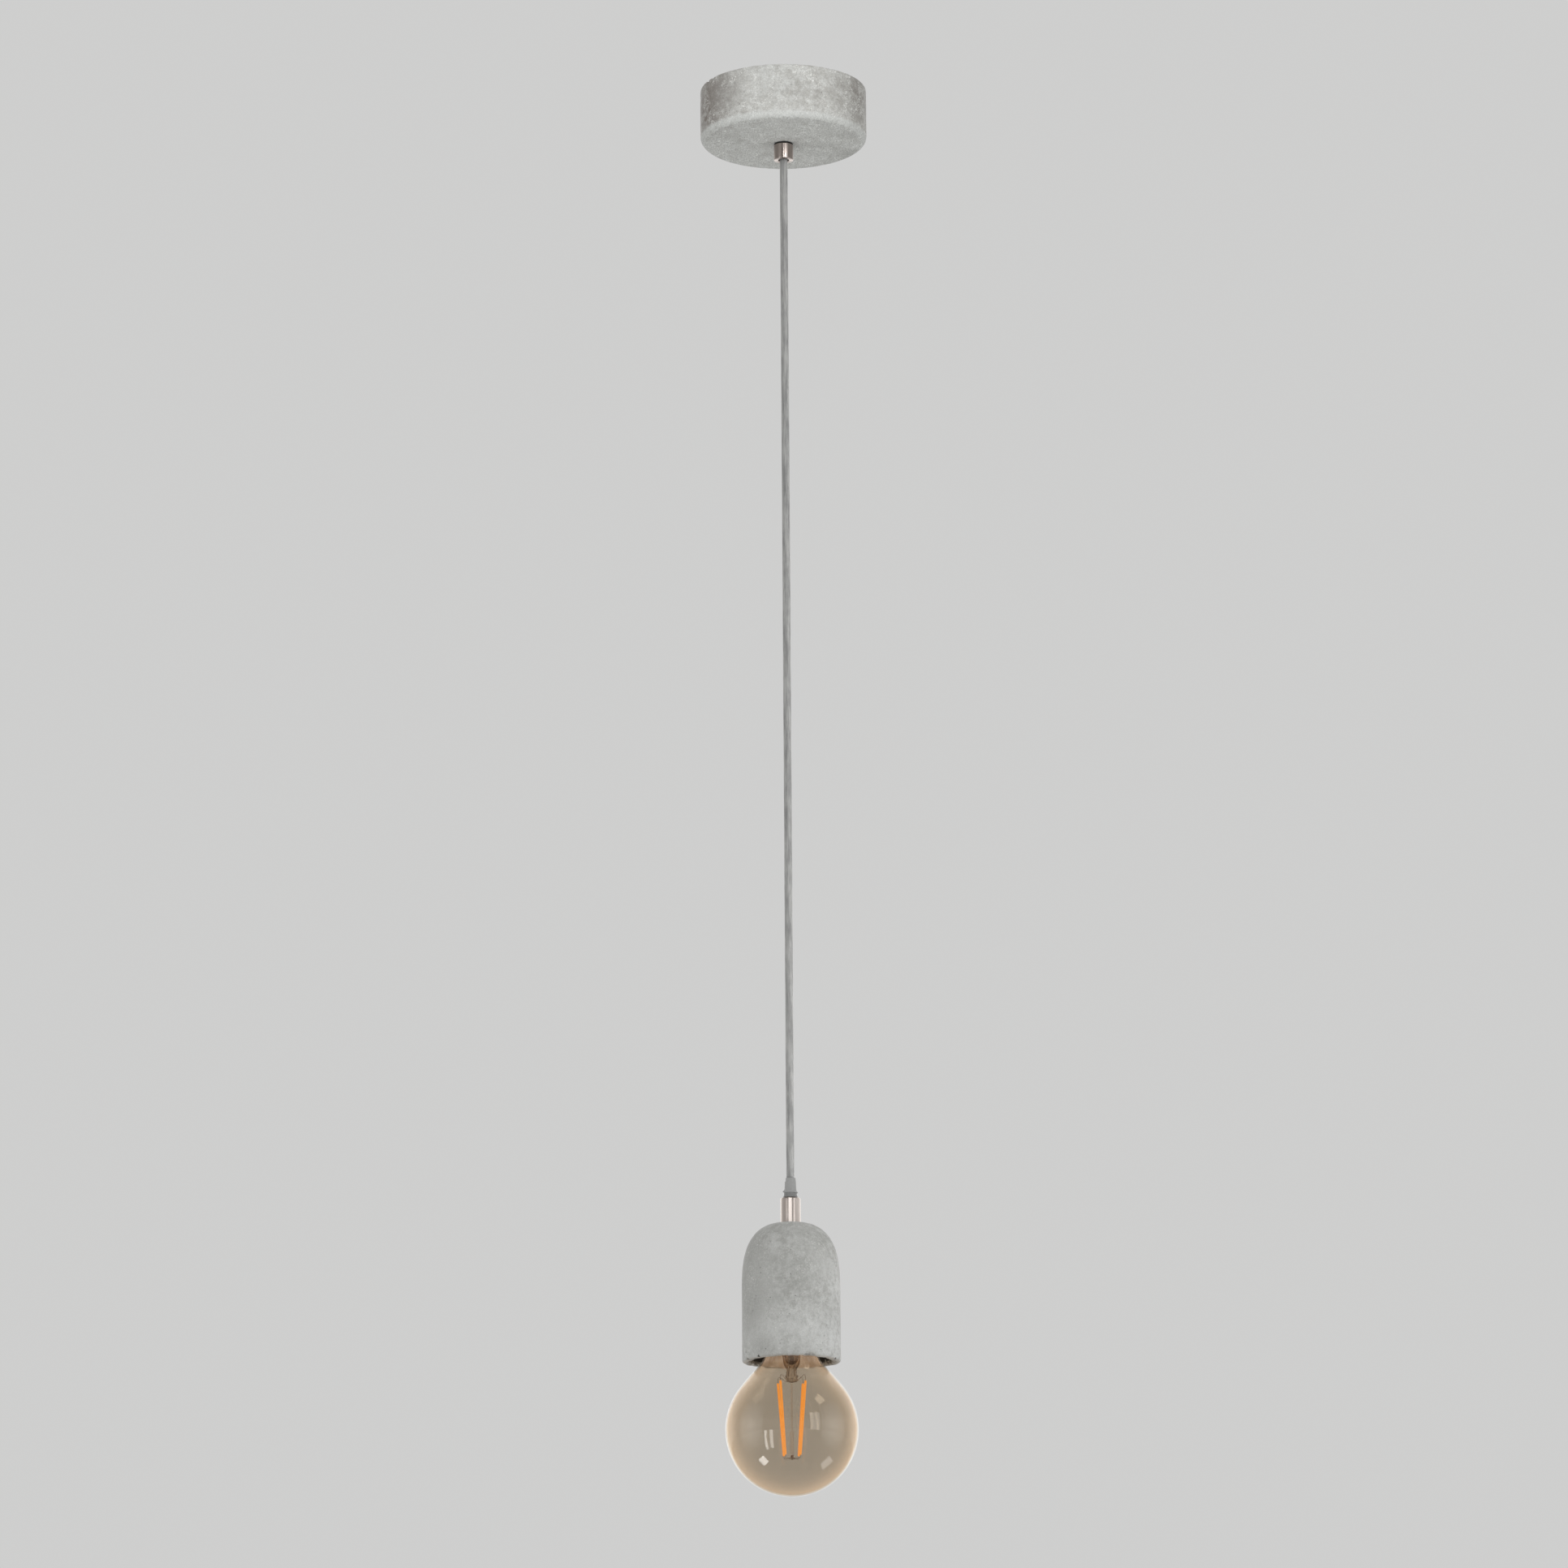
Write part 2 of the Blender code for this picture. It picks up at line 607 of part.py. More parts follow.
def holder_terminals(parent):
    """Two clamp screws on top of the contact base, each with the conductor that it holds."""
    for side, label, finish in ((1, "live", "brown_insulation"), (-1, "neutral", "blue_insulation")):
        head_low = BASE_TOP + GAP
        disc(
            f"holder_screw_{label}", 0.0020, head_low + 0.0024, head_low, "brass", parent,
            axis_place=(side * TERMINAL_X, 0),
        )
        stations = [
            (side * 0.0012, 0, HOLDER_TUBE_BOTTOM + 0.0020), (side * 0.0018, 0, -0.7440),
            (side * 0.0050, 0, -0.7468), (side * (TERMINAL_X - 0.0032), 0, head_low + 0.0010),
        ]
        route = smooth_route(stations, 3)
        tube(f"holder_wire_{label}", route, WIRE_RADIUS, finish, parent)


def centre_contact(parent):
    """A brass strip with a dimple that presses on the bulb's centre button."""
    thick = 0.0005
    low = CONTACT_TOP - thick
    dimple = 0.0024
    outline = [(-0.0080, CONTACT_TOP), (0.0050, CONTACT_TOP), (0.0050, low), (dimple, low)]
    outline += [(dimple / 2, CONTACT_TIP + thick / 2), (0, CONTACT_TIP)]
    outline += [(-dimple / 2, CONTACT_TIP + thick / 2), (-dimple, low), (-0.0080, low)]
    plate("centre_contact", outline, 0.0024, "brass", parent)


# ---------------------------------------------------------------- bulb


def bulb_cap(travel, bulb):
    """Screw shell, the round insulator that only travels, and the centre button."""
    thick = 0.0005
    inner = CAP_RADIUS - thick
    outline = [
        (CAP_RADIUS, CAP_RIM), (CAP_RADIUS, CAP_SHOULDER), (0.0118, CAP_SHOULDER + 0.0019),
        (0.0080, CAP_TOP), (0.0076, CAP_TOP - 0.0003), (0.0112, CAP_SHOULDER + 0.0013),
        (inner, CAP_SHOULDER - 0.0005), (inner, CAP_RIM),
    ]
    turned("bulb_cap", outline, "brushed_nickel", bulb, MIDDLE)
    low = CAP_TOP + GAP
    button_low = BULB_TIP - 0.0008
    outline = [
        (0.0073, low), (0.0052, button_low - GAP), (0.0022, button_low - GAP), (0.0022, low),
    ]
    turned("bulb_insulator", outline, "black_phenolic", travel)
    stem = 0.0022 - GAP
    outline = [
        (0, BULB_TIP), (0.0025, BULB_TIP - 0.0001), (0.0043, BULB_TIP - 0.0005),
        (0.0043, button_low), (stem, button_low), (stem, CAP_TOP - 0.0009), (0, CAP_TOP - 0.0009),
    ]
    turned("bulb_button", outline, "brushed_nickel", bulb, 16)


def driver(bulb):
    """The small supply for the filaments, inside the cap."""
    board_top = CAP_RIM + 0.0130
    disc("driver_board", 0.0105, board_top, board_top - 0.0012, "board_green", bulb, 16)
    disc(
        "driver_capacitor", 0.0026, board_top + GAP + 0.0060, board_top + GAP, "brown_insulation",
        bulb, axis_place=(0.0030, 0),
    )


def globe_side(inset, from_height, neck_count, ball_count):
    """The globe's outline from a height in its neck to its lowest point, set in by a wall.

    The neck is an arc that curves the other way and runs into the ball without a corner.
    """
    fillet = NECK_FILLET + inset
    ball = GLOBE_RADIUS - inset
    centre_radius = NECK_RADIUS + NECK_FILLET
    centre_z = GLOBE_Z + sqrt((GLOBE_RADIUS + NECK_FILLET) ** 2 - centre_radius**2)
    slope = acos(centre_radius / (GLOBE_RADIUS + NECK_FILLET))
    points = []
    start = acos(sqrt(1 - ((centre_z - from_height) / fillet) ** 2))
    for step in range(neck_count):
        angle = start + (slope - start) * step / neck_count
        points.append((centre_radius - fillet * cos(angle), centre_z - fillet * sin(angle)))
    for step in range(ball_count + 1):
        angle = slope + (-pi / 2 - slope) * step / ball_count
        radius = ball * cos(angle) if step < ball_count else 0
        points.append((radius, GLOBE_Z + ball * sin(angle)))
    return points


def bulb_glass(bulb):
    """A bowl of glass, open at the neck inside the cap."""
    neck_top = CAP_RIM + 0.0060
    sleeve = 0.0120
    below_cap = CAP_RIM - GAP
    outside = globe_side(0, below_cap - 0.0001, 5, 11)
    inside = globe_side(GLASS_THICKNESS, below_cap - 0.0010, 4, 10)
    outline = list(reversed(inside))
    outline += [(sleeve - GLASS_THICKNESS, below_cap), (sleeve - GLASS_THICKNESS, neck_top)]
    outline += [(sleeve, neck_top), (sleeve, below_cap)] + outside
    turned("bulb_glass", outline, "amber_glass", bulb, 32)


def glass_stem(bulb):
    """The flared tube that is sealed into the neck, pinched round the lead wires, and its rod."""
    rim = CAP_RIM + 0.0057
    outline = [
        (0, rim - 0.0187), (0.0036, rim - 0.0157), (0.0044, rim - 0.0087), (0.0098, rim - 0.0007),
        (0.0098, rim), (0.0106, rim), (0.0106, rim - 0.0011), (0.0056, rim - 0.0097),
        (0.0052, rim - 0.0162), (0.0029, rim - 0.0247), (0.0024, rim - 0.0267),
        (0.0024, PINCH_BOTTOM), (0, PINCH_BOTTOM),
    ]
    turned("glass_stem", outline, "clear_glass", bulb, 16)
    rod_top = PINCH_BOTTOM - GAP
    wide_top = -0.8489
    rod_low = -0.8618
    outline = [
        (0, rod_top), (0.0006, rod_top), (0.0006, wide_top + 0.0006), (0.0012, wide_top),
        (0.0012, rod_low), (0, rod_low),
    ]
    turned("glass_rod", outline, "clear_glass", bulb, 10)


def filaments(bulb):
    """Four filaments that lean inwards to the anchor, each on its own lead wire."""
    for number in range(FILAMENT_COUNT):
        angle = FILAMENT_TURN + number * 2 * pi / FILAMENT_COUNT

        def at(radius, height, turn=angle):
            return (radius * cos(turn), radius * sin(turn), height)

        ends = [at(*FILAMENT_TOP), at(*FILAMENT_FOOT)]
        tube(f"filament_{number + 1}", ends, FILAMENT_RADIUS, "filament_coating", bulb)
        stations = [
            at(0.0031, -0.8180), at(0.0065, -0.8152), at(0.0100, -0.8145), at(0.0107, -0.8164)
        ]
        tube(f"lead_wire_{number + 1}", smooth_route(stations, 2), 0.0003, "galvanised_steel", bulb)


def filament_anchor(bulb):
    """A small foot under the rod with two crossed wires that reach the filaments' lower ends."""
    top = -0.8621
    outline = [(0, top), (0.0010, top), (0.0021, top - 0.0012), (0.0021, -0.8652), (0, -0.8652)]
    foot = turned("filament_anchor", outline, "galvanised_steel", bulb, TINY)
    for number in range(2):
        angle = FILAMENT_TURN + number * pi / 2
        wire = bmesh.new()
        along = (cos(angle), sin(angle), 0)
        cylinder_into(wire, (0, 0, ANCHOR_Z), along, 0.0003, 2 * FILAMENT_FOOT[0], 8)
        tool = add_mesh(f"anchor_wire_{number + 1}", wire, "galvanised_steel", bulb)
        combine(foot, tool, "UNION")


# ---------------------------------------------------------------- the whole light


def build_light():
    clear_scene()
    ceiling_bracket()
    hanger()
    canopy_shell()
    cord_grip()
    terminal_block()
    earth_screw()
    canopy_wiring()

    swing = pivot("swing_pivot", SWING_Z)
    side_swing = pivot("side_swing_pivot", SIDE_SWING_Z, swing)
    tilt = pivot("tilt_pivot", TILT_Z, side_swing)
    turn = pivot("cup_turn_pivot", COLLAR_BOTTOM, tilt)
    contact = pivot("contact_pivot", CONTACT_TOP, turn)
    travel = pivot("bulb_travel_pivot", BULB_TIP, turn)
    bulb = pivot("bulb_pivot", GLOBE_Z, travel)

    flex_bottom = SIDE_SWING_Z + CORD_RADIUS + GAP
    cord_length("cord_flex", SWING_Z, flex_bottom, swing, round_top=True)
    cord_length("cord", SIDE_SWING_Z, TILT_Z, side_swing, round_top=True, round_bottom=True)
    cord_length("cord_in_collar", TILT_Z - CORD_RADIUS - GAP, HOLDER_TUBE_BOTTOM + 0.0035, tilt)
    strain_relief(tilt)
    collar(tilt)
    cup(turn)
    cup_fixing(turn)
    lampholder(turn)
    holder_terminals(turn)
    centre_contact(contact)
    bulb_cap(travel, bulb)
    driver(bulb)
    bulb_glass(bulb)
    glass_stem(bulb)
    filaments(bulb)
    filament_anchor(bulb)


build_light()
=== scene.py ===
"""Pendant ceiling light: concrete canopy, grey cord, nickel collar, concrete cup and an amber globe bulb.

Metres, in the frame of the CAD model. The light hangs along x = y = 0 below the ceiling plane z = 0.
"""

from math import acos, asin, cos, exp, pi, radians, sin, sqrt

import bmesh
import bpy
from mathutils import Matrix, Vector, noise


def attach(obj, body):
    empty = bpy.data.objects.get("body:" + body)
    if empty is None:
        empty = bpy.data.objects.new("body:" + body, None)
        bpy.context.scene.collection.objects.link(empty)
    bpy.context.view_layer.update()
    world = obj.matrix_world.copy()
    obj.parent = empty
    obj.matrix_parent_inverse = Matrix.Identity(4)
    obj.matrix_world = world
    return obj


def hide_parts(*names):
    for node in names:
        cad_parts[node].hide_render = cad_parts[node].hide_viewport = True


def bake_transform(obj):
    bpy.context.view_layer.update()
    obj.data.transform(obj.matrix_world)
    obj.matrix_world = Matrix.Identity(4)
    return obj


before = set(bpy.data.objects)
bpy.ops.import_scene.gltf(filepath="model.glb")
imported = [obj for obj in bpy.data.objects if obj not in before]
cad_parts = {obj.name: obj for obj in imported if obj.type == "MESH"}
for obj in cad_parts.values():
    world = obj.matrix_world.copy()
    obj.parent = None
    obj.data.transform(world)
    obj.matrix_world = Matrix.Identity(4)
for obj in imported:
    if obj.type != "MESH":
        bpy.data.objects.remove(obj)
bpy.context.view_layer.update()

# ---------------------------------------------------------------- mesh helpers


def smooth_step(value):
    value = min(max(value, 0.0), 1.0)
    return value * value * (3 - 2 * value)


def soften(corners, closed=False, steps=4):
    """An outline of (radius, height, rounding) corners, each rounded corner cut by a short curve."""
    points = []
    last = len(corners) - 1
    for index, corner in enumerate(corners):
        here = Vector(corner[:2])
        cut = corner[2] if len(corner) > 2 else 0
        if not cut or (not closed and index in (0, last)):
            points.append(tuple(here))
            continue
        before = Vector(corners[index - 1][:2])
        after = Vector(corners[(index + 1) % len(corners)][:2])
        start = here + (before - here).normalized() * cut
        end = here + (after - here).normalized() * cut
        for step in range(steps + 1):
            t = step / steps
            points.append(tuple(start * (1 - t) ** 2 + here * 2 * t * (1 - t) + end * t * t))
    return points


def fine(outline, step):
    """The outline with more points, so that no two are further apart than step."""
    points = [outline[0]]
    for start, end in zip(outline, outline[1:]):
        a, b = Vector(start[:2]), Vector(end[:2])
        count = max(1, round((b - a).length / step))
        points += [tuple(a.lerp(b, i / count)) for i in range(1, count + 1)]
    return points


def arc(centre, radius, start, end, count):
    """Points of a circular arc in (radius, height), its angles in degrees from the +radius side."""
    angles = [radians(start + (end - start) * i / (count - 1)) for i in range(count)]
    return [(centre[0] + radius * cos(a), centre[1] + radius * sin(a)) for a in angles]


def spin(outline, segments, shape=None, closed=False, place=(0, 0), form=None):
    """Turn an outline about a vertical axis. shape(angle, radius, height) gives another radius."""
    form = form or bmesh.new()
    rings = []
    for radius, height in outline:
        if radius < 1e-7:
            rings.append([form.verts.new((*place, height))])
            continue
        ring = []
        for index in range(segments):
            angle = 2 * pi * index / segments
            reach = shape(angle, radius, height) if shape else radius
            x, y = place[0] + reach * cos(angle), place[1] + reach * sin(angle)
            ring.append(form.verts.new((x, y, height)))
        rings.append(ring)
    pairs = list(zip(rings, rings[1:])) + ([(rings[-1], rings[0])] if closed else [])
    for upper, lower in pairs:
        for index in range(segments):
            after = (index + 1) % segments
            corners = [
                upper[index % len(upper)], upper[after % len(upper)],
                lower[after % len(lower)], lower[index % len(lower)],
            ]
            corners = list(dict.fromkeys(corners))
            if len(corners) > 2:
                form.faces.new(corners)
    return form


def sweep(route, radius, sides, form=None):
    """A round tube along a route of points. radius is a number, or a function of index and angle."""
    form = form or bmesh.new()
    route = [Vector(point) for point in route]
    last = len(route) - 1
    side = None
    loops = []
    for index, place in enumerate(route):
        along = (route[min(index + 1, last)] - route[max(index - 1, 0)]).normalized()
        side = along.orthogonal() if side is None else side - along * side.dot(along)
        side.normalize()
        other = along.cross(side)
        loop = []
        for step in range(sides):
            angle = 2 * pi * step / sides
            reach = radius(index, angle) if callable(radius) else radius
            loop.append(form.verts.new(place + (side * cos(angle) + other * sin(angle)) * reach))
        loops.append(loop)
    for first, second in zip(loops, loops[1:]):
        for step in range(sides):
            after = (step + 1) % sides
            form.faces.new((first[step], first[after], second[after], second[step]))
    form.faces.new(loops[0][::-1])
    form.faces.new(loops[-1])
    return form


def ball_ends(route, radius):
    """The route with more points at both ends, and the radius that rounds them off."""
    route = [Vector(point) for point in route]
    head = (route[0] - route[1]).normalized() * radius
    tail = (route[-1] - route[-2]).normalized() * radius
    angles = [radians(a) for a in (80, 62, 42, 20)]
    points = [route[0] + head * (sin(a) - 1) for a in angles]
    middle = [route[0] - head] + route[1:-1] + [route[-1] - tail]
    points += middle
    points += [route[-1] + tail * (sin(a) - 1) for a in reversed(angles)]
    sizes = [cos(a) for a in angles]
    sizes = sizes + [1] * len(middle) + sizes[::-1]
    return points, lambda index, angle: radius * sizes[index]


def smooth_route(stations, steps):
    """Points of a smooth curve through the stations, with a number of steps between each two."""
    ends = [stations[0]] + list(stations) + [stations[-1]]
    route = []
    for before, here, there, after in zip(ends, ends[1:], ends[2:], ends[3:]):
        p, q, r, s = (Vector(point) for point in (before, here, there, after))
        for step in range(steps):
            t = step / steps
            bend = (r - p) * t + (2 * p - 5 * q + 4 * r - s) * t**2 + (3 * q - p - 3 * r + s) * t**3
            route.append(q + bend / 2)
    return route + [Vector(stations[-1])]


def wire_form(stations, radius, steps=5, sides=10, form=None):
    """A wire with rounded ends along a smooth curve through the stations."""
    route, sizes = ball_ends(smooth_route(stations, steps), radius)
    return sweep(route, sizes, sides, form)


def thread_wave(angle, height, pitch):
    """0 in the root and 1 on the crest of a right-handed thread."""
    return 0.5 + 0.5 * cos(2 * pi * height / pitch - angle)


def finish(name, form, body, material, nodes, sharp=40):
    """Turn a bmesh into a named piece that rides on a body and stands for the CAD nodes."""
    bmesh.ops.recalc_face_normals(form, faces=form.faces)
    mesh = bpy.data.meshes.new(name)
    form.to_mesh(mesh)
    form.free()
    mesh.shade_smooth()
    mesh.set_sharp_from_angle(angle=radians(sharp))
    mesh.materials.append(material)
    made = bpy.data.objects.new(name, mesh)
    bpy.context.collection.objects.link(made)
    if body:
        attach(made, body)
    if nodes:
        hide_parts(*nodes)
    return made


def bevelled(name, solid, body, material, width):
    """A copy of a CAD solid with its sharp edges rounded and its large faces shaded flat."""
    form = bmesh.new()
    form.from_mesh(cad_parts[solid].data)
    bmesh.ops.remove_doubles(form, verts=form.verts, dist=1e-6)
    bmesh.ops.dissolve_limit(
        form, angle_limit=radians(1), verts=form.verts, edges=form.edges, use_dissolve_boundaries=False
    )
    edges = [e for e in form.edges if len(e.link_faces) == 2 and e.calc_face_angle() > radians(38)]
    bmesh.ops.bevel(
        form, geom=edges, offset=width, segments=2, affect="EDGES", profile=0.5, clamp_overlap=True
    )
    made = finish(name, form, body, material, [solid])
    normals = [Vector() for _ in made.data.vertices]
    for face in made.data.polygons:
        for corner in face.vertices:
            normals[corner] += face.normal * face.area
    made.data.normals_split_custom_set_from_vertices([n.normalized() for n in normals])
    return made


# ---------------------------------------------------------------- material helpers


def new_material(name):
    material = bpy.data.materials.new(name)
    material.use_nodes = True
    tree = material.node_tree
    tree.nodes.clear()
    return material, tree


def node(tree, kind, inputs=None, **settings):
    made = tree.nodes.new(kind)
    for key, value in settings.items():
        setattr(made, key, value)
    for key, value in (inputs or {}).items():
        if isinstance(value, bpy.types.NodeSocket):
            tree.links.new(value, made.inputs[key])
        else:
            made.inputs[key].default_value = value
    return made


def math(tree, operation, *values, clamp=False):
    made = node(tree, "ShaderNodeMath", dict(enumerate(values)), operation=operation)
    made.use_clamp = clamp
    return made.outputs[0]


def times(tree, value, *factors):
    for factor in factors:
        value = math(tree, "MULTIPLY", value, factor)
    return value


def plus(tree, first, second):
    return math(tree, "ADD", first, second)


def linear(tree, value, slope, offset):
    return math(tree, "MULTIPLY_ADD", value, slope, offset)


def vector_math(tree, operation, first, second):
    return node(tree, "ShaderNodeVectorMath", {0: first, 1: second}, operation=operation).outputs


def place_in(tree, scale=(1, 1, 1)):
    """Object coordinates in metres, stretched by a scale."""
    source = node(tree, "ShaderNodeTexCoord").outputs["Object"]
    return node(tree, "ShaderNodeMapping", {"Vector": source, "Scale": scale}).outputs[0]


def height_in(tree, where):
    return node(tree, "ShaderNodeSeparateXYZ", {0: where}).outputs["Z"]


def clouds(tree, where, scale, detail, rough, distortion=0.0):
    inputs = {
        "Vector": where, "Scale": scale, "Detail": detail, "Roughness": rough, "Distortion": distortion
    }
    return node(tree, "ShaderNodeTexNoise", inputs).outputs["Fac"]


def cells(tree, where, scale):
    """The distance from the nearest of many scattered points, and a random value for that point."""
    made = node(tree, "ShaderNodeTexVoronoi", {"Vector": where, "Scale": scale})
    value = node(tree, "ShaderNodeSeparateColor", {0: made.outputs["Color"]}).outputs[0]
    return made.outputs["Distance"], value


def between(tree, value, low, high):
    """0 at low, 1 at high and smooth between; low may be the larger of the two."""
    inputs = {"Value": value, "From Min": low, "From Max": high}
    made = node(tree, "ShaderNodeMapRange", inputs, interpolation_type="SMOOTHSTEP")
    return made.outputs[0]


def blend_colour(tree, factor, first, second):
    made = node(tree, "ShaderNodeMix", data_type="RGBA", blend_type="MIX")
    for socket, value in ((0, factor), (6, first), (7, second)):
        if isinstance(value, bpy.types.NodeSocket):
            tree.links.new(value, made.inputs[socket])
        elif socket == 0:
            made.inputs[0].default_value = value
        else:
            made.inputs[socket].default_value = (*value, 1)
    return made.outputs[2]


def scaled(colour, factor, lift=0.0):
    """A colour made darker or paler, as three numbers."""
    return tuple(min(1, c * factor + lift) for c in colour)


def dimmed(tree, colour, factor):
    """A colour socket made darker or paler by another socket."""
    inputs = {0: colour, "Scale": factor}
    return node(tree, "ShaderNodeVectorMath", inputs, operation="SCALE").outputs[0]


def spot(tree, where, centre, radius):
    """1 at a place on the object and 0 beyond a radius from it."""
    return between(tree, vector_math(tree, "DISTANCE", where, centre)["Value"], radius, 0.0)


def bump(tree, height, distance, strength):
    inputs = {"Height": height, "Distance": distance, "Strength": strength}
    return node(tree, "ShaderNodeBump", inputs).outputs[0]


def principled(material, tree, **inputs):
    values = {key.replace("_", " "): value for key, value in inputs.items()}
    shader = node(tree, "ShaderNodeBsdfPrincipled", values)
    node(tree, "ShaderNodeOutputMaterial", {"Surface": shader.outputs[0]})
    return material


# ---------------------------------------------------------------- materials


def hollow_shade(tree, where, ragged, radius, rim):
    """The painted shade in the cup's hollow: full inside the radius, in crumbs round its opening."""
    height = height_in(tree, where)
    flat = vector_math(tree, "MULTIPLY", where, (1, 1, 0))[0]
    away = node(tree, "ShaderNodeVectorMath", {0: flat}, operation="LENGTH").outputs["Value"]
    below_dome = between(tree, height, rim + 0.060, rim + 0.050)
    uneven = linear(tree, ragged, 0.010, math(tree, "SUBTRACT", height, 0.0050))
    above_rim = between(tree, uneven, rim - 0.0004, rim + 0.0006)
    deep = times(tree, between(tree, away, radius + 0.0010, radius), below_dome, above_rim)
    crumbled = between(tree, clouds(tree, where, 620, 5, 0.7), 0.44, 0.56)
    opening = between(tree, away, radius + 0.0028, radius + 0.0012)
    under = times(tree, opening, crumbled, below_dome, 0.62)
    return times(tree, math(tree, "MAXIMUM", deep, under), 0.95)


def concrete(name, dark, mid, light, flecks, patches, band=None, grain=1.0, cavity=None, depth=1.0):
    """Cast concrete: clouds, small curled pale flecks, sandy grain and dark pinholes.

    patches are (centre, radius, colour, strength) of painted light and shade; band is (low z, top z,
    reach, colour, strength) of a painted highlight along the rounded lower edge; cavity is
    (radius, rim z) of the cup's hollow, which it fills with painted shade. depth below 1 draws the flecks
    out along y.
    """
    material, tree = new_material(name)
    where = place_in(tree)
    drawn = place_in(tree, (1, depth, 1))
    wide = clouds(tree, where, 42, 6, 0.60)
    middle = clouds(tree, drawn, 260, 8, 0.74, 0.2)
    colour = blend_colour(tree, between(tree, wide, 0.36, 0.64), dark, mid)
    colour = blend_colour(tree, between(tree, middle, 0.38, 0.68), colour, light)
    ragged = clouds(tree, where, 260, 6, 0.7)
    speckled = plus(tree, between(tree, ragged, 0.30, 0.62), 0.35)
    # The patches paint light and shade: paler where light falls, darker where it falls off.
    for centre, radius, tone, strength in patches:
        share = times(tree, spot(tree, where, centre, radius), strength)
        share = math(tree, "MULTIPLY", share, speckled, clamp=True)
        colour = blend_colour(tree, share, colour, tone)
    curls = clouds(tree, drawn, 820, 4, 0.74, 1.3)
    gathered = between(tree, clouds(tree, where, 85, 5, 0.65), 0.42, 0.62)
    fleck = times(tree, between(tree, curls, 0.50, 0.66), gathered)
    fleck_share = times(tree, fleck, flecks)
    contrast = 1.1 * grain
    if band:
        low, top, reach, tone, strength = band
        height = height_in(tree, where)
        below = between(tree, height, low, low - 0.0008)
        fleck_share = math(tree, "MULTIPLY", fleck_share, linear(tree, below, 0.9, 1.0), clamp=True)
        contrast = linear(tree, below, 0.7, contrast)
    colour = blend_colour(tree, fleck_share, colour, scaled(light, 1.5))
    if band:
        # Painted highlight: the band lightens the rounded lower edge, broken up by a mottle.
        rise = times(
            tree, between(tree, height, low - reach, low), between(tree, height, top + reach, top)
        )
        highlight_mottle = between(tree, clouds(tree, where, 300, 6, 0.7), 0.15, 0.52)
        colour = blend_colour(tree, times(tree, rise, highlight_mottle, strength), colour, tone)
    sand = clouds(tree, drawn, 1300, 4, 0.75)
    colour = dimmed(tree, colour, linear(tree, math(tree, "SUBTRACT", sand, 0.5), contrast, 1.0))
    away, picked = cells(tree, where, 330.0)
    hole = times(tree, between(tree, away, 0.15, 0.09), between(tree, picked, 0.88, 0.90))
    colour = blend_colour(tree, times(tree, hole, 0.7), colour, scaled(dark, 0.35))
    # Painted shade fills the cup's hollow, ragged round its opening.
    if cavity:
        colour = blend_colour(tree, hollow_shade(tree, where, ragged, *cavity), colour, scaled(dark, 0.05))
    relief_map = plus(tree, times(tree, sand, 0.5), times(tree, fleck, 0.35))
    relief_map = plus(tree, relief_map, times(tree, middle, 0.6))
    relief_map = math(tree, "SUBTRACT", relief_map, times(tree, hole, 0.8))
    return principled(
        material, tree, Base_Color=colour, Roughness=linear(tree, sand, 0.16, 0.76),
        Specular_IOR_Level=0.35, Sheen_Weight=0.30, Sheen_Roughness=0.30,
        Normal=bump(tree, relief_map, 0.00020 * grain, 0.8),
    )


def brushed(name, colour, tint, roughness, grain=3000, spread=0.10, turned=0.0):
    """Brushed or drawn metal with fine upright lines. turned stretches its gloss upwards."""
    material, tree = new_material(name)
    lines = clouds(tree, place_in(tree, (grain, grain, grain / 90)), 1.0, 3, 0.6)
    broad = between(tree, clouds(tree, place_in(tree), 130, 3, 0.5), 0.45, 0.75)
    shade = blend_colour(tree, between(tree, lines, 0.30, 0.70), colour, tint)
    shade = blend_colour(tree, times(tree, broad, 0.25), shade, tint)
    rough = linear(tree, lines, spread, roughness - spread / 2)
    return principled(
        material, tree, Base_Color=shade, Metallic=1.0, Roughness=rough, Anisotropic=turned,
        Anisotropic_Rotation=0.25, Normal=bump(tree, lines, 0.00001, 0.4),
    )


def zinc(name):
    """Galvanised steel with its soft crystal patches."""
    material, tree = new_material(name)
    where = place_in(tree)
    _, tone = cells(tree, where, 240.0)
    skin = clouds(tree, where, 900, 4, 0.6)
    mixed = plus(tree, times(tree, tone, 0.7), times(tree, skin, 0.3))
    colour = blend_colour(tree, mixed, (0.44, 0.45, 0.46), (0.66, 0.67, 0.68))
    return principled(
        material, tree, Base_Color=colour, Metallic=1.0, Roughness=linear(tree, mixed, 0.22, 0.28),
        Normal=bump(tree, skin, 0.00003, 0.5),
    )


def plastic(name, colour, roughness, mottling=0.10, scale=900):
    """Moulded plastic, rubber or ceramic with a fine skin and slight wear."""
    material, tree = new_material(name)
    where = place_in(tree)
    skin = clouds(tree, where, scale, 4, 0.6)
    cloud = clouds(tree, where, 60, 4, 0.5)
    tone = between(tree, plus(tree, times(tree, skin, 0.5), times(tree, cloud, 0.5)), 0.35, 0.65)
    shade = blend_colour(tree, tone, scaled(colour, 1 - mottling), scaled(colour, 1 + mottling, 0.003))
    return principled(
        material, tree, Base_Color=shade, Roughness=linear(tree, cloud, 0.2, roughness - 0.1),
        Normal=bump(tree, skin, 0.00003, 0.4),
    )


CORD_LAY = 0.055


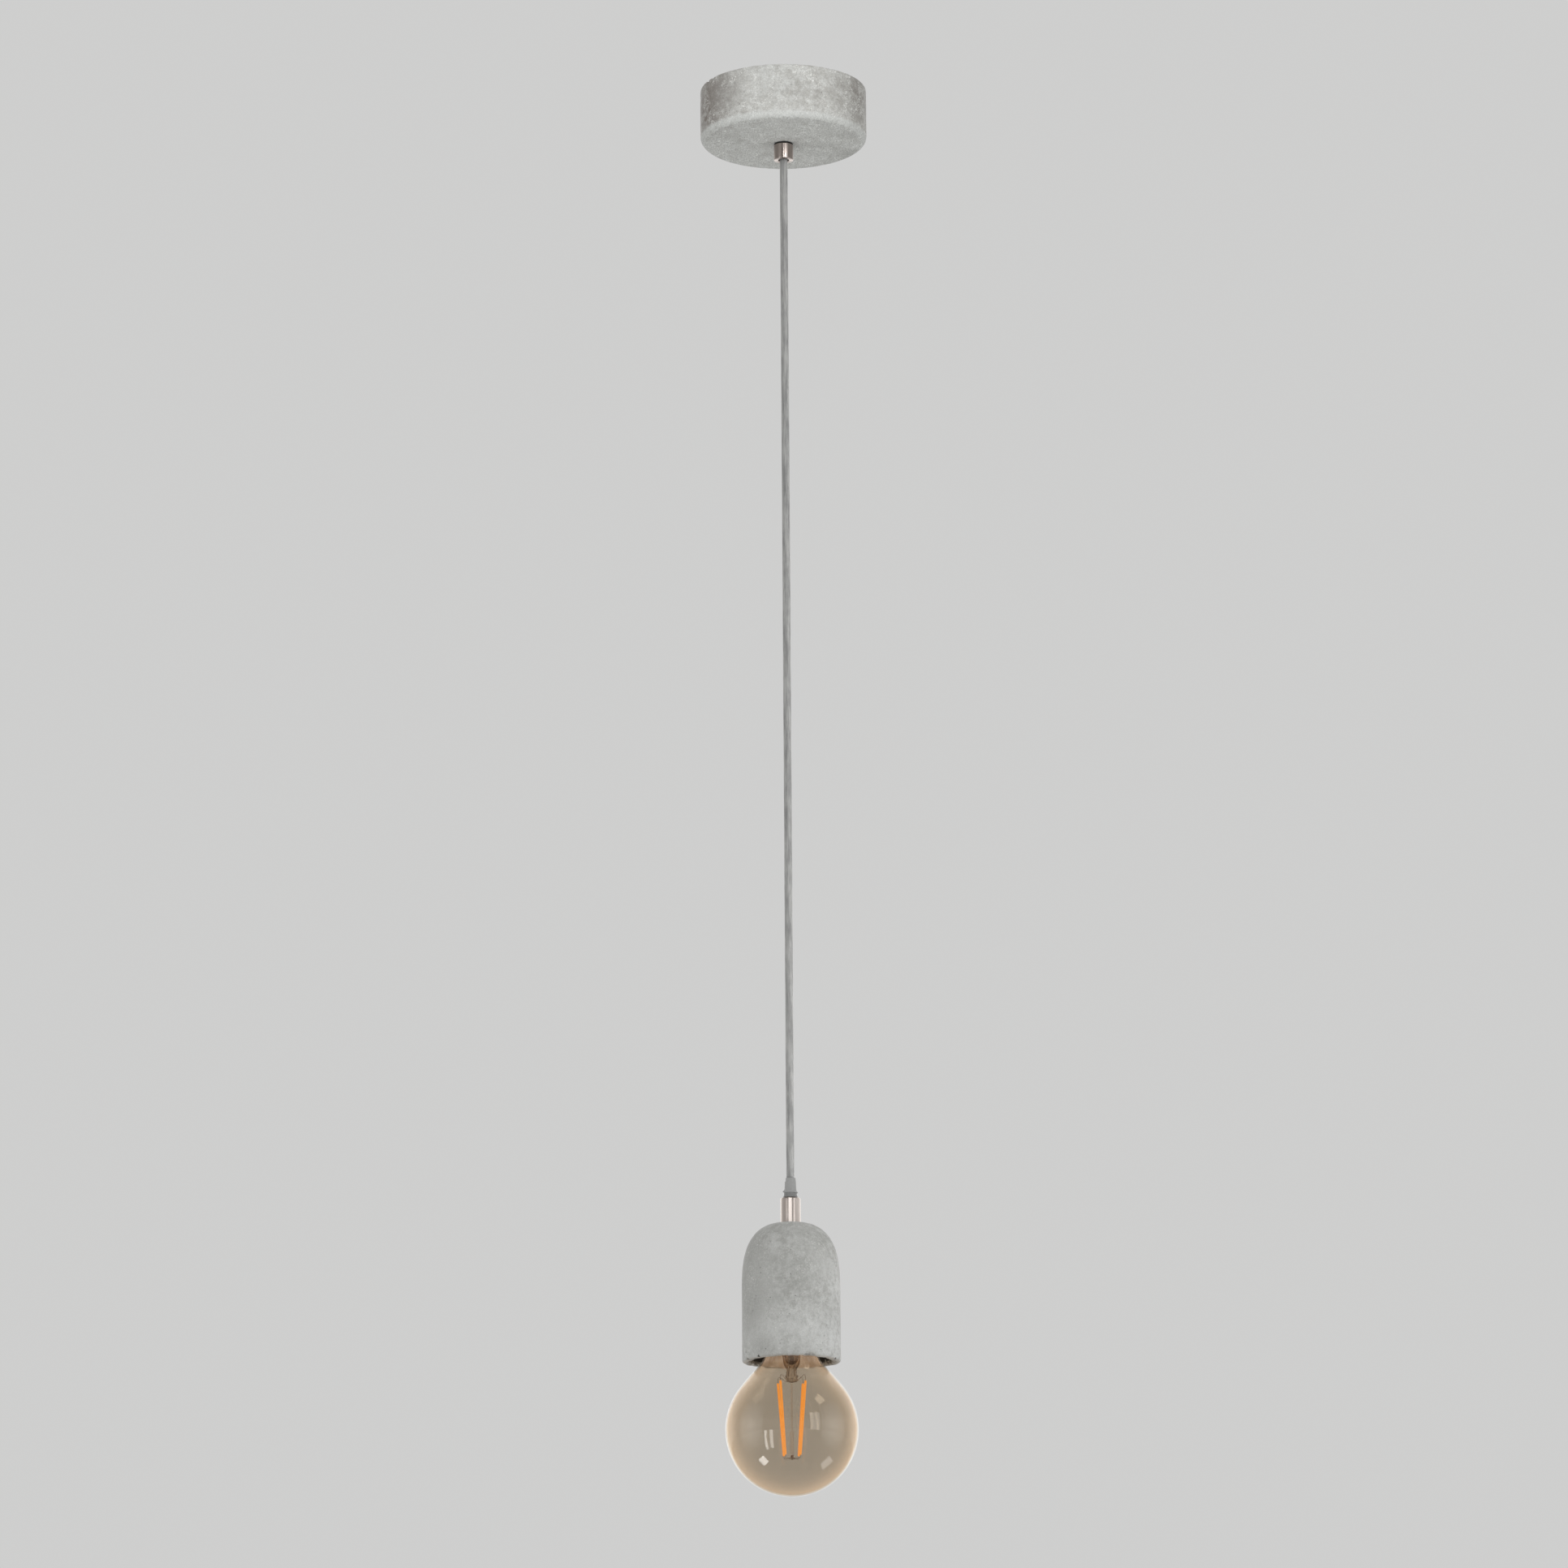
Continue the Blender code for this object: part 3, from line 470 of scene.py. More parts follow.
def cord_skin(name):
    """The cord's grey jacket: fine drawn streaks, faint strands that wind round it, painted shade
    darkening it towards the top.
    """
    material, tree = new_material(name)
    place = place_in(tree)
    x, y, z = node(tree, "ShaderNodeSeparateXYZ", {0: place}).outputs
    lay = plus(tree, times(tree, math(tree, "ARCTAN2", y, x), 2.0), times(tree, z, 2 * pi / CORD_LAY))
    strand = linear(tree, math(tree, "SINE", lay), 0.5, 0.5)
    streaks = clouds(tree, place_in(tree, (1500, 1500, 70)), 1.0, 4, 0.66, 0.6)
    mottle = clouds(tree, place_in(tree, (1, 1, 0.4)), 260, 3, 0.6)
    tone = plus(tree, times(tree, strand, 0.06), times(tree, streaks, 0.62))
    tone = between(tree, plus(tree, tone, times(tree, mottle, 0.26)), 0.33, 0.60)
    colour = blend_colour(tree, tone, (0.215, 0.216, 0.215), (0.400, 0.400, 0.392))
    # Painted shade: the jacket darkens steadily towards the top and is paler at the bottom.
    colour = dimmed(tree, colour, linear(tree, between(tree, z, -0.69, -0.05), -0.26, 1.12))
    height = plus(tree, streaks, times(tree, clouds(tree, place, 1400, 3, 0.6), 0.2))
    return principled(
        material, tree, Base_Color=colour, Roughness=linear(tree, streaks, 0.25, 0.26),
        Specular_IOR_Level=0.5, Normal=bump(tree, height, 0.00012, 0.7),
    )


def frosting(tree, share):
    """A milky shader with drawn streaks, and how much of it shows on the lining of the glass."""
    drips = clouds(tree, place_in(tree, (420, 420, 20)), 1.0, 3, 0.6)
    milky = blend_colour(tree, between(tree, drips, 0.35, 0.65), (0.84, 0.70, 0.58), (0.96, 0.87, 0.78))
    milk = node(tree, "ShaderNodeBsdfDiffuse", {"Color": milky})
    through = node(tree, "ShaderNodeBsdfTranslucent", {"Color": milky})
    both = node(tree, "ShaderNodeMixShader", {0: 0.5, 1: milk.outputs[0], 2: through.outputs[0]})
    lining = node(tree, "ShaderNodeAttribute", attribute_name="lining").outputs["Fac"]
    unseen = node(tree, "ShaderNodeNewGeometry").outputs["Backfacing"]
    frosted = times(tree, lining, math(tree, "SUBTRACT", 1.0, unseen))
    return both, plus(tree, times(tree, share, linear(tree, frosted, 0.80, 0.08)), 0.012)


def thin_glass(name, centre, edge, mid=(0.10, 0.60), bare=None, bare_height=0.0, streaks=0.0):
    """One face of a thin glass wall: it passes a tint and mirrors more at a slant.

    mid is the slant between which the tint turns from centre to edge. Above bare_height the tint is
    bare and the lining of the wall is frosted.
    """
    material, tree = new_material(name)
    facing = node(tree, "ShaderNodeLayerWeight", {"Blend": 0.5}).outputs["Facing"]
    slanted = linear(tree, math(tree, "POWER", facing, 5.0), 0.30, 0.035)
    mirror = linear(tree, between(tree, facing, 0.77, 0.95), 0.60, slanted)
    tint = blend_colour(tree, between(tree, facing, *mid), centre, edge)
    where = place_in(tree)
    wave = clouds(tree, where, 60, 2, 0.5)
    if bare:
        wavy = plus(tree, height_in(tree, where), times(tree, wave, 0.0025))
        step = between(tree, wavy, bare_height, bare_height + 0.0008)
        rise = between(tree, wavy, bare_height, bare_height + 0.0050)
        share = linear(tree, step, 0.45, times(tree, rise, 0.55))
        tint = blend_colour(tree, share, tint, bare)
    if streaks:
        drawn = clouds(tree, place_in(tree, (1100, 1100, 60)), 1.0, 3, 0.6)
        cloudy = linear(tree, between(tree, drawn, 0.38, 0.62), streaks, 1 - streaks)
    else:
        cloudy = linear(tree, clouds(tree, where, 25, 2, 0.5), 0.05, 0.975)
    body = node(tree, "ShaderNodeBsdfTransparent", {"Color": dimmed(tree, tint, cloudy)})
    if bare:
        milk, veil = frosting(tree, share)
        body = node(tree, "ShaderNodeMixShader", {0: veil, 1: body.outputs[0], 2: milk.outputs[0]})
    slight = bump(tree, wave, 0.0001, 0.1)
    gloss = node(tree, "ShaderNodeBsdfAnisotropic", {"Roughness": 0.012, "Normal": slight})
    mixed = node(tree, "ShaderNodeMixShader", {0: mirror, 1: body.outputs[0], 2: gloss.outputs[0]})
    node(tree, "ShaderNodeOutputMaterial", {"Surface": mixed.outputs[0]})
    return material


def glow(name, core, coat, strength):
    """The silicone coating of a filament, with its small grains and a faint painted glow."""
    material, tree = new_material(name)
    grains = clouds(tree, place_in(tree), 2200, 3, 0.6)
    shade = blend_colour(tree, between(tree, grains, 0.3, 0.7), core, coat)
    return principled(
        material, tree, Base_Color=shade, Roughness=0.55, Emission_Color=shade,
        Emission_Strength=strength, Normal=bump(tree, grains, 0.00004, 0.5),
    )


# The colour on the next line is painted shade, laid into the first few of the cup's chips.
CHIP_SHADE = (0.045, 0.043, 0.038)
CUP_CHIPS = [
    ((0.0092, -0.0276, -0.8058), 0.0019, 0.0008), ((0.0110, -0.0269, -0.8058), 0.0022, 0.0011),
    ((0.0129, -0.0260, -0.8059), 0.0018, 0.0007), ((-0.0196, -0.0215, -0.8052), 0.0012, 0.0004),
    ((-0.0100, -0.0273, -0.8062), 0.0010, 0.0004), ((-0.0262, -0.0120, -0.8060), 0.0014, 0.0006),
    ((0.0262, -0.0122, -0.8060), 0.0012, 0.0005), ((0.0150, 0.0235, -0.8062), 0.0030, 0.0011),
    ((-0.0180, 0.0215, -0.8062), 0.0036, 0.0012), ((-0.0020, 0.0280, -0.8062), 0.0018, 0.0008),
    ((-0.0240, 0.0150, -0.8062), 0.0020, 0.0008),
]
# How many of the cup's chips get that painted shade.
SHADED_CHIPS = 7
# The canopy's patches paint light and shade: darker on the left and right of its wall and under it, paler
# at the front.
CANOPY_CONCRETE = concrete(
    "canopy_concrete", (0.350, 0.341, 0.320), (0.465, 0.462, 0.440), (0.570, 0.575, 0.558), 0.85,
    [
        ((-0.050, -0.021, -0.018), 0.034, (0.175, 0.153, 0.136), 0.85),
        ((-0.046, -0.028, -0.004), 0.024, (0.195, 0.174, 0.155), 0.75),
        ((0.049, -0.022, -0.012), 0.034, (0.250, 0.238, 0.220), 0.85),
        ((0.043, 0.022, -0.035), 0.018, (0.250, 0.242, 0.225), 0.80),
        ((-0.036, -0.038, -0.008), 0.027, (0.300, 0.290, 0.275), 0.60),
        ((-0.006, -0.052, -0.008), 0.030, (0.540, 0.550, 0.535), 0.50),
    ],
    # The band is a painted highlight along the canopy's rounded lower edge.
    band=(-0.0336, -0.0318, 0.0024, (0.60, 0.615, 0.60), 0.70), depth=0.33,
)
# The cup's patches paint light and shade: paler low at the front and on the right, darker on the left;
# the chip patches paint shade into the chips.
CUP_CONCRETE = concrete(
    "cup_concrete", (0.365, 0.365, 0.347), (0.440, 0.442, 0.425), (0.520, 0.524, 0.508), 0.50,
    [
        ((0.010, -0.028, -0.788), 0.026, (0.60, 0.605, 0.59), 0.70),
        ((-0.016, -0.024, -0.786), 0.024, (0.59, 0.595, 0.58), 0.60),
        ((0.024, -0.014, -0.796), 0.026, (0.62, 0.625, 0.615), 0.75),
        ((-0.012, -0.026, -0.738), 0.010, (0.60, 0.605, 0.59), 0.80),
        ((0.012, 0.024, -0.780), 0.030, (0.58, 0.585, 0.57), 0.60),
        ((-0.025, -0.015, -0.743), 0.030, (0.330, 0.330, 0.315), 0.65),
        ((-0.024, -0.016, -0.774), 0.028, (0.330, 0.330, 0.315), 0.65),
        ((-0.018, -0.023, -0.800), 0.014, (0.340, 0.340, 0.325), 0.60),
        ((0.027, -0.011, -0.762), 0.028, (0.610, 0.615, 0.600), 0.80),
        *((centre, radius * 1.1, CHIP_SHADE, 1.5) for centre, radius, _ in CUP_CHIPS[:SHADED_CHIPS]),
    ],
    grain=0.55, cavity=(0.0254, -0.8046),
)
NICKEL = brushed("nickel", (0.60, 0.535, 0.495), (0.74, 0.68, 0.64), 0.34, turned=0.85)
# A darker copy of the nickel: painted shade on the grip under the canopy.
SHADED_NICKEL = brushed("shaded_nickel", (0.36, 0.305, 0.280), (0.52, 0.46, 0.43), 0.33, turned=0.95)
CAP_NICKEL = brushed("cap_nickel", (0.66, 0.65, 0.62), (0.78, 0.77, 0.75), 0.22, spread=0.06)
BRASS = brushed("brass_drawn", (0.62, 0.44, 0.18), (0.80, 0.62, 0.32), 0.28)
LEAD = brushed("lead_metal", (0.42, 0.36, 0.30), (0.56, 0.49, 0.42), 0.35, grain=2000)
ZINC = zinc("zinc")
RUBBER = plastic("rubber", (0.022, 0.021, 0.020), 0.70, 0.2)
RELIEF_GREY = plastic("relief_grey", (0.345, 0.348, 0.345), 0.42, 0.08)
# A darker copy of the relief grey: painted shade on the relief's neck at the collar.
RELIEF_SHADED = plastic("relief_shaded", (0.235, 0.237, 0.235), 0.45, 0.08)
NYLON = plastic("nylon", (0.78, 0.77, 0.73), 0.42, 0.04)
PHENOLIC = plastic("phenolic", (0.024, 0.023, 0.022), 0.34, 0.2)
CERAMIC = plastic("ceramic", (0.80, 0.79, 0.75), 0.22, 0.03, 400)
BROWN = plastic("brown_pvc", (0.19, 0.075, 0.03), 0.42)
BLUE = plastic("blue_pvc", (0.03, 0.13, 0.42), 0.42)
GREEN_YELLOW = plastic("earth_pvc", (0.22, 0.42, 0.06), 0.42)
BOARD = plastic("board", (0.04, 0.18, 0.09), 0.45, 0.15)
CORD = cord_skin("cord_jacket")
AMBER = thin_glass(
    "amber", (0.832, 0.796, 0.742), (0.980, 0.908, 0.822), (0.12, 0.90), (0.945, 0.905, 0.865), -0.8071
)
CLEAR = thin_glass("stem_glass", (0.93, 0.86, 0.79), (0.60, 0.48, 0.37), (0.15, 0.75), streaks=0.22)
ROD = thin_glass("rod_glass", (1.0, 0.96, 0.93), (0.88, 0.78, 0.69))
CORE = plastic("exhaust_glass", (0.340, 0.270, 0.240), 0.25, 0.30, 1400)
# The filaments' faint emission is a painted glow.
FILAMENT = glow("filament_silicone", (0.86, 0.30, 0.035), (0.92, 0.37, 0.060), 0.90)

# The materials that a CAD slot stands for. The first of each slot also dresses the CAD solids.
SLOT_MATERIALS = {
    "concrete": [CUP_CONCRETE, CANOPY_CONCRETE], "brushed_nickel": [CAP_NICKEL, NICKEL, SHADED_NICKEL],
    "galvanised_steel": [ZINC, LEAD], "brass": [BRASS], "dark_rubber": [RUBBER], "grey_cord": [CORD],
    "grey_nylon": [RELIEF_GREY, RELIEF_SHADED], "white_nylon": [NYLON], "black_phenolic": [PHENOLIC],
    "white_ceramic": [CERAMIC], "brown_insulation": [BROWN], "blue_insulation": [BLUE],
    "earth_insulation": [GREEN_YELLOW], "amber_glass": [AMBER], "clear_glass": [CLEAR, ROD, CORE],
    "filament_coating": [FILAMENT], "board_green": [BOARD],
}
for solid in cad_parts.values():
    for cad_slot in solid.material_slots:
        cad_slot.material = SLOT_MATERIALS[cad_slot.material.name.split(".")[0]][0]

# ---------------------------------------------------------------- camera

camera_data = bpy.data.cameras.new("camera")
camera_data.sensor_width = 36.0
camera_data.lens = 133.4
camera_data.clip_end = 60
CAMERA_PLACE = (-0.0023, -3.486, -1.248)
CAMERA_PITCH = radians(90 + 12.906)
CAMERA_ROLL = radians(-0.37)
camera = bpy.data.objects.new("camera", camera_data)
bpy.context.collection.objects.link(camera)
camera.matrix_world = (
    Matrix.Translation(CAMERA_PLACE)
    @ Matrix.Rotation(CAMERA_PITCH, 4, "X")
    @ Matrix.Rotation(CAMERA_ROLL, 4, "Z")
)
bpy.context.scene.camera = camera

# ---------------------------------------------------------------- cord

CORD_RADIUS = 0.0025
SWING_Z = -0.0450
TILT_Z = -0.6930
RIPPLE = 0.000015
ROUGHENING = 0.00004


def hanging_cord():
    """One straight length of jacketed cable, with rounded ends in the grip and in the relief.

    Its rings lie close together just below the swing height and wide apart below.
    """
    near, close, wide = 0.0022, 0.0008, 0.0028
    heights = [SWING_Z - near - close * i for i in range(60)]
    while heights[-1] > TILT_Z + 0.003:
        heights.append(heights[-1] - wide)
    heights = [h for h in heights if h > TILT_Z + 0.0002] + [TILT_Z]
    ball = [radians(a) for a in (82, 66, 48, 30, 12)]
    rings = [(SWING_Z + CORD_RADIUS * sin(a), cos(a)) for a in ball] + [(SWING_Z, 1.0)]
    rings += [(h, 1.0) for h in heights]
    rings += [(TILT_Z - CORD_RADIUS * sin(a), cos(a)) for a in reversed(ball)]

    def reach(index, angle):
        height, size = rings[index]
        lay = 2 * angle + 2 * pi * height / CORD_LAY
        ripple = RIPPLE * (cos(lay) - 1)
        grain = noise.noise(Vector((cos(angle) * 2, sin(angle) * 2, height * 60)))
        return (CORD_RADIUS + ripple + ROUGHENING * (grain - 1)) * size

    form = sweep([(0, 0, h) for h, _ in rings], reach, 24)
    return finish("cable", form, None, CORD, ["cord_flex", "cord"])


cable = hanging_cord()
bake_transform(cable)

# ---------------------------------------------------------------- canopy

CANOPY_RADIUS = 0.0525
CANOPY_HEIGHT = 0.0347
CANOPY_WALL = 0.0050
CANOPY_FLOOR = 0.0062
CANOPY_EDGE = 0.0047
THREAD_HOLE = 0.0053


def eroded(form, chips, wave, grain, pits, seed, keep_out):
    """Push a concrete skin in: long waves, sandy grain, chips, and small air holes.

    chips are (centre, radius, depth), pits are (rough count, depth), and keep_out(place) tells where
    no air hole may be. The skin never moves outwards.
    """
    bmesh.ops.recalc_face_normals(form, faces=form.faces)
    form.normal_update()
    shift = Vector((seed, seed * 2, seed * 3))
    for vert in form.verts:
        place = vert.co
        slow = noise.noise(place * 28 + shift)
        quick = noise.fractal(place * 420 + shift, 0.9, 2.1, 3)
        depth = wave * (0.5 - 0.5 * slow) + grain * max(0.0, 0.4 - quick)
        for centre, radius, deep in chips:
            away = (place - Vector(centre)).length / radius
            away += 0.35 * noise.noise(place * 900 + shift)
            if away < 1:
                depth += deep * smooth_step(1.25 * (1 - away))
        vert.co = place - vert.normal * depth
    form.faces.ensure_lookup_table()
    chosen = []
    count, deep = pits
    step = max(1, len(form.faces) // (count * 3))
    for index in range(0, len(form.faces), step):
        face = form.faces[index]
        centre = face.calc_center_median()
        if keep_out(centre):
            continue
        if noise.cell(centre * 5000 + shift) > 0.66:
            chosen.append(face)
    for sink in (0.45, 0.40):
        bmesh.ops.inset_individual(form, faces=chosen, thickness=0.00010, depth=-deep * sink)


def canopy():
    inside = CANOPY_RADIUS - CANOPY_WALL
    floor = CANOPY_FLOOR - CANOPY_HEIGHT
    edge = (CANOPY_RADIUS - CANOPY_EDGE, CANOPY_EDGE - CANOPY_HEIGHT)
    skin = [(CANOPY_RADIUS - 0.0007, 0), (CANOPY_RADIUS - 0.0002, -0.0002), (CANOPY_RADIUS, -0.0008)]
    skin += arc(edge, CANOPY_EDGE, 0, -90, 12)
    skin += [(THREAD_HOLE + 0.0004, -CANOPY_HEIGHT), (THREAD_HOLE, 0.0004 - CANOPY_HEIGHT)]
    outline = fine(skin, 0.00078)
    lining = [(THREAD_HOLE, floor), (inside, floor, 0.0030), (inside, -0.0004), (inside + 0.0005, 0)]
    outline += fine(soften(lining), 0.0028)
    form = spin(outline, 420, closed=True)
    chips = [
        ((-0.0475, -0.0224, 0.0000), 0.0021, 0.0009), ((-0.0440, -0.0286, -0.0003), 0.0012, 0.0004),
        ((0.0300, -0.0431, 0.0002), 0.0010, 0.0004), ((0.0180, 0.0493, 0.0000), 0.0020, 0.0007),
        ((0.0507, 0.0136, -0.0335), 0.0016, 0.0005), ((-0.0200, 0.0470, -0.0335), 0.0020, 0.0005),
        ((0.0130, -0.0490, -0.0338), 0.0012, 0.0003),
    ]

    def hidden(place):
        """In the hollow, or against the ceiling."""
        return place.xy.length < inside and place.z > floor - 0.0015 or place.z > -0.0010

    eroded(form, chips, 0.00020, 0.00010, (170, 0.00045), 3.7, hidden)
    finish("canopy_cast", form, "canopy", CANOPY_CONCRETE, ["canopy_shell"], sharp=70)


canopy()

# ---------------------------------------------------------------- canopy fixings

THREAD_RADIUS = 0.0050
TUBE_BORE = 0.0036
NUT_FLATS = 0.0140
NUT_HEIGHT = 0.0035
NUT_GAP = 0.0003
BRACKET_TOP = -0.0120
BRACKET_THICKNESS = 0.0015
WIRE_RADIUS = 0.00075


def threaded(crest, root, pitch):
    """A radius that rises and falls as a screw thread."""

    def shape(angle, radius, height):
        if radius < root:
            return radius
        wave = smooth_step(1.6 * thread_wave(angle, height, pitch) - 0.3)
        return min(radius, root + (crest - root) * wave)

    return shape


def threaded_tube(name, top, bottom, body, nodes):
    outline = [(TUBE_BORE, top), (THREAD_RADIUS - 0.0006, top)]
    outline += fine([(THREAD_RADIUS, top - 0.0006), (THREAD_RADIUS, bottom + 0.0006)], 0.00017)
    outline += [(THREAD_RADIUS - 0.0006, bottom), (TUBE_BORE, bottom)]
    form = spin(outline, 40, threaded(THREAD_RADIUS, THREAD_RADIUS - 0.00055, 0.001), closed=True)
    return finish(name, form, body, ZINC, nodes)


def hex_nut(name, top, body, nodes):
    """A hexagon nut with the round chamfer of its corners on both faces."""
    flat = NUT_FLATS / 2
    bottom = top - NUT_HEIGHT
    chamfer = [(0.96, 0), (1.04, 0.0002), (1.1, 0.0004), (1.2, 0.0008)]

    def hexagon(angle, radius, z):
        if radius < flat * 0.95:
            return radius
        from_flat = (angle + pi / 6) % (pi / 3) - pi / 6
        return min(radius, flat / cos(from_flat))

    outline = [(THREAD_HOLE + 0.0004, top)] + [(flat * share, top - drop) for share, drop in chamfer]
    outline += [(flat * share, bottom + drop) for share, drop in chamfer[::-1]]
    outline += [(THREAD_HOLE + 0.0004, bottom), (THREAD_HOLE, bottom + 0.0004)]
    outline += [(THREAD_HOLE, top - 0.0004)]
    form = spin(outline, 96, hexagon, closed=True)
    return finish(name, form, body, ZINC, nodes, sharp=25)


def earth_screw():
    """A pan head screw with a straight slot cut in its head."""
    place = (-0.0170, 0)
    under, height, tip = -0.0117, 0.0022, -0.0170
    radius, stem = 0.0030, 0.0015
    slot_turn, slot_half = 0.4, 0.00032
    crown = under + height
    outline = [(0, crown), (radius * 0.55, crown - 0.04 * height), (radius * 0.86, crown - 0.25 * height)]
    outline += [(radius, crown - 0.6 * height), (radius, under), (stem, under)]
    outline += [(stem, tip + 0.0004), (stem - 0.0004, tip), (0, tip)]
    form = spin(outline, 32, place=place)
    for vert in form.verts:
        across = (vert.co.x - place[0]) * cos(slot_turn) + (vert.co.y - place[1]) * sin(slot_turn)
        if abs(across) < slot_half and vert.co.z > crown - 0.3 * height:
            vert.co.z -= 0.45 * height
    finish("earth_screw_head", form, "canopy", BRASS, ["earth_screw"], sharp=30)


def canopy_fixings():
    bevelled("bracket_strap", "ceiling_bracket", "canopy", ZINC, 0.00030)
    threaded_tube("canopy_tube", -0.0070, -0.0390, "canopy", ["hanger_tube"])
    upper = BRACKET_TOP + NUT_GAP + NUT_HEIGHT
    lower = BRACKET_TOP - BRACKET_THICKNESS - NUT_GAP
    hex_nut("canopy_nut_upper", upper, "canopy", ["hanger_nut_upper"])
    hex_nut("canopy_nut_lower", lower, "canopy", ["hanger_nut_lower"])
    bevelled("terminal_body", "terminal_block", "canopy", NYLON, 0.00020)
    earth_screw()
    start = -0.0052
    block = -0.0198
    for name, solid, side, material in (
        ("wire_live", "conductor_live", -1, BROWN), ("wire_neutral", "conductor_neutral", 1, BLUE),
    ):
        stations = [
            (0.0008, side * 0.0011, start), (0.0012, side * 0.0022, -0.0032),
            (0.0030, side * 0.0070, -0.0027), (0.0055, side * 0.0108, -0.0070),
            (0.0080, side * 0.0112, -0.0145), (0.0105, side * 0.0098, block + 0.0012),
            (0.0165, side * 0.0090, block),
        ]
        finish(name, wire_form(stations, WIRE_RADIUS, 8, 14), "canopy", material, [solid])
    stations = [
        (-0.0012, 0, start), (-0.0030, 0, -0.0030), (-0.0075, 0, -0.0028), (-0.0110, 0, -0.0055),
        (-0.0131, 0, -0.0105),
    ]
    form = wire_form(stations, WIRE_RADIUS, 8, 14)
    finish("wire_earth", form, "canopy", GREEN_YELLOW, ["conductor_earth"])


canopy_fixings()

# ---------------------------------------------------------------- grip, relief and collar

GRIP_RADIUS = 0.0061
GRIP_BOTTOM = -0.0455
COLLAR_RADIUS = 0.00615
COLLAR_TOP = -0.7065
COLLAR_BOTTOM = -0.7219


def grip():
    top, bore, throat, throat_top = -0.0358, 0.0053, 0.0034, -0.0445
    gasket = soften(
        [(0.0053, -0.0350), (0.0059, -0.0350, 0.0001), (0.0059, -0.0355, 0.0001), (0.0053, -0.0355)],
        closed=True, steps=3,
    )
    finish("gasket_ring", spin(gasket, 72, closed=True), "canopy", RUBBER, ["grip_gasket"])
    outline = soften(
        [
            (GRIP_RADIUS, top, 0.0002), (GRIP_RADIUS, GRIP_BOTTOM, 0.00045),
            (throat, GRIP_BOTTOM, 0.00025), (throat, throat_top, 0.0001), (bore, throat_top),
            (bore, top),
        ],
        closed=True,
    )
    finish("grip_barrel", spin(outline, 96, closed=True), "canopy", SHADED_NICKEL, ["grip_sleeve"])


def relief():
    """The moulded grey relief: a stepped body with a slanted top edge, two small ears, and a neck in
    painted shade, darker grey where it meets the collar.
    """
    top = -0.6942

    def body(angle, radius, height):
        if height > top - 0.0022 and radius > 0.0030:
            return radius - 0.00025 * (1 + sin(angle - 0.6))
        return radius

    outline = [
        (0.00262, top - 0.0012), (0.00262, top - 0.0002), (0.00285, top), (0.00315, top - 0.0002),
        (0.00335, top - 0.0009), (0.00345, top - 0.0021), (0.00350, top - 0.0045),
        (0.00360, top - 0.0066), (0.00378, top - 0.0078), (0.00390, top - 0.0086),
        (0.00395, top - 0.0092),
    ]
    outline = fine(outline, 0.0005) + [(0.0036, top - 0.0092), (0.0030, top - 0.0092)]
    form = spin(outline, 64, body, closed=True)
    for angle, drop, reach in ((pi + 0.10, 0.0, 0.00462), (-0.12, 0.0007, 0.00455)):
        out = Vector((cos(angle), sin(angle), 0))
        across = Vector((-sin(angle), cos(angle), 0))
        low = top - 0.0093 - drop
        near = [
            form.verts.new(out * 0.0033 + across * side * 0.0009 + Vector((0, 0, low + high)))
            for side, high in ((-1, 0.0), (1, 0.0), (1, 0.0022), (-1, 0.0022))
        ]
        tip = [
            form.verts.new(out * reach + across * side * 0.00022 + Vector((0, 0, low + high)))
            for side, high in ((-1, 0.0007), (1, 0.0007), (1, 0.0010), (-1, 0.0010))
        ]
        form.faces.new(near[::-1])
        form.faces.new(tip)
        for i in range(4):
            j = (i + 1) % 4
            form.faces.new((near[i], near[j], tip[j], tip[i]))
    finish("relief_body", form, "collar_group", RELIEF_GREY, ["strain_relief"])
    low = COLLAR_TOP + 0.0003
    foot = COLLAR_TOP - 0.0027
    outline = soften(
        [
            (0.0030, top - 0.0093), (0.00395, top - 0.0093, 0.0002), (0.00385, top - 0.0104, 0.0004),
            (0.0046, low, 0.0002), (0.0035, low), (0.0035, foot), (0.0028, foot),
        ],
        closed=True,
    )
    # The neck is painted shade: the darker copy of the relief grey.
    finish("relief_neck", spin(outline, 64, closed=True), "collar_group", RELIEF_SHADED, [])


def collar():
    lip = COLLAR_TOP - 0.0015
    throat, bore = 0.0038, 0.0053
    outline = soften(
        [
            (COLLAR_RADIUS, COLLAR_BOTTOM, 0.00015), (COLLAR_RADIUS, COLLAR_TOP, 0.0011),
            (throat, COLLAR_TOP, 0.0002), (throat, lip), (bore, lip), (bore, COLLAR_BOTTOM),
        ],
        closed=True, steps=6,
    )
    finish("collar_barrel", spin(outline, 96, closed=True), "collar_group", NICKEL, ["collar"])


grip()
relief()
collar()

# ---------------------------------------------------------------- cup

CUP_RADIUS = 0.0291
CUP_TOP = -0.7222
CUP_RIM = -0.8062
CUP_WALL = 0.0040
CUP_ROOF = 0.0065
CUP_SEAT = 0.0105
DOME_HEIGHT = 0.0410
GOLDEN_ANGLE = 2.39996
WORN = 0.00030
WORN_IN_FRONT = 0.00115


def dome(radius, top, depth, count):
    """The cup's outline from its flat top down to where its wall is straight."""
    points = []
    for step in range(1, count):
        share = (step / (count - 1)) ** 1.6
        reach = radius * (1 - (1 - share) ** 2.8) ** (1 / 2.9)
        points.append((reach, top - depth * share))
    return points


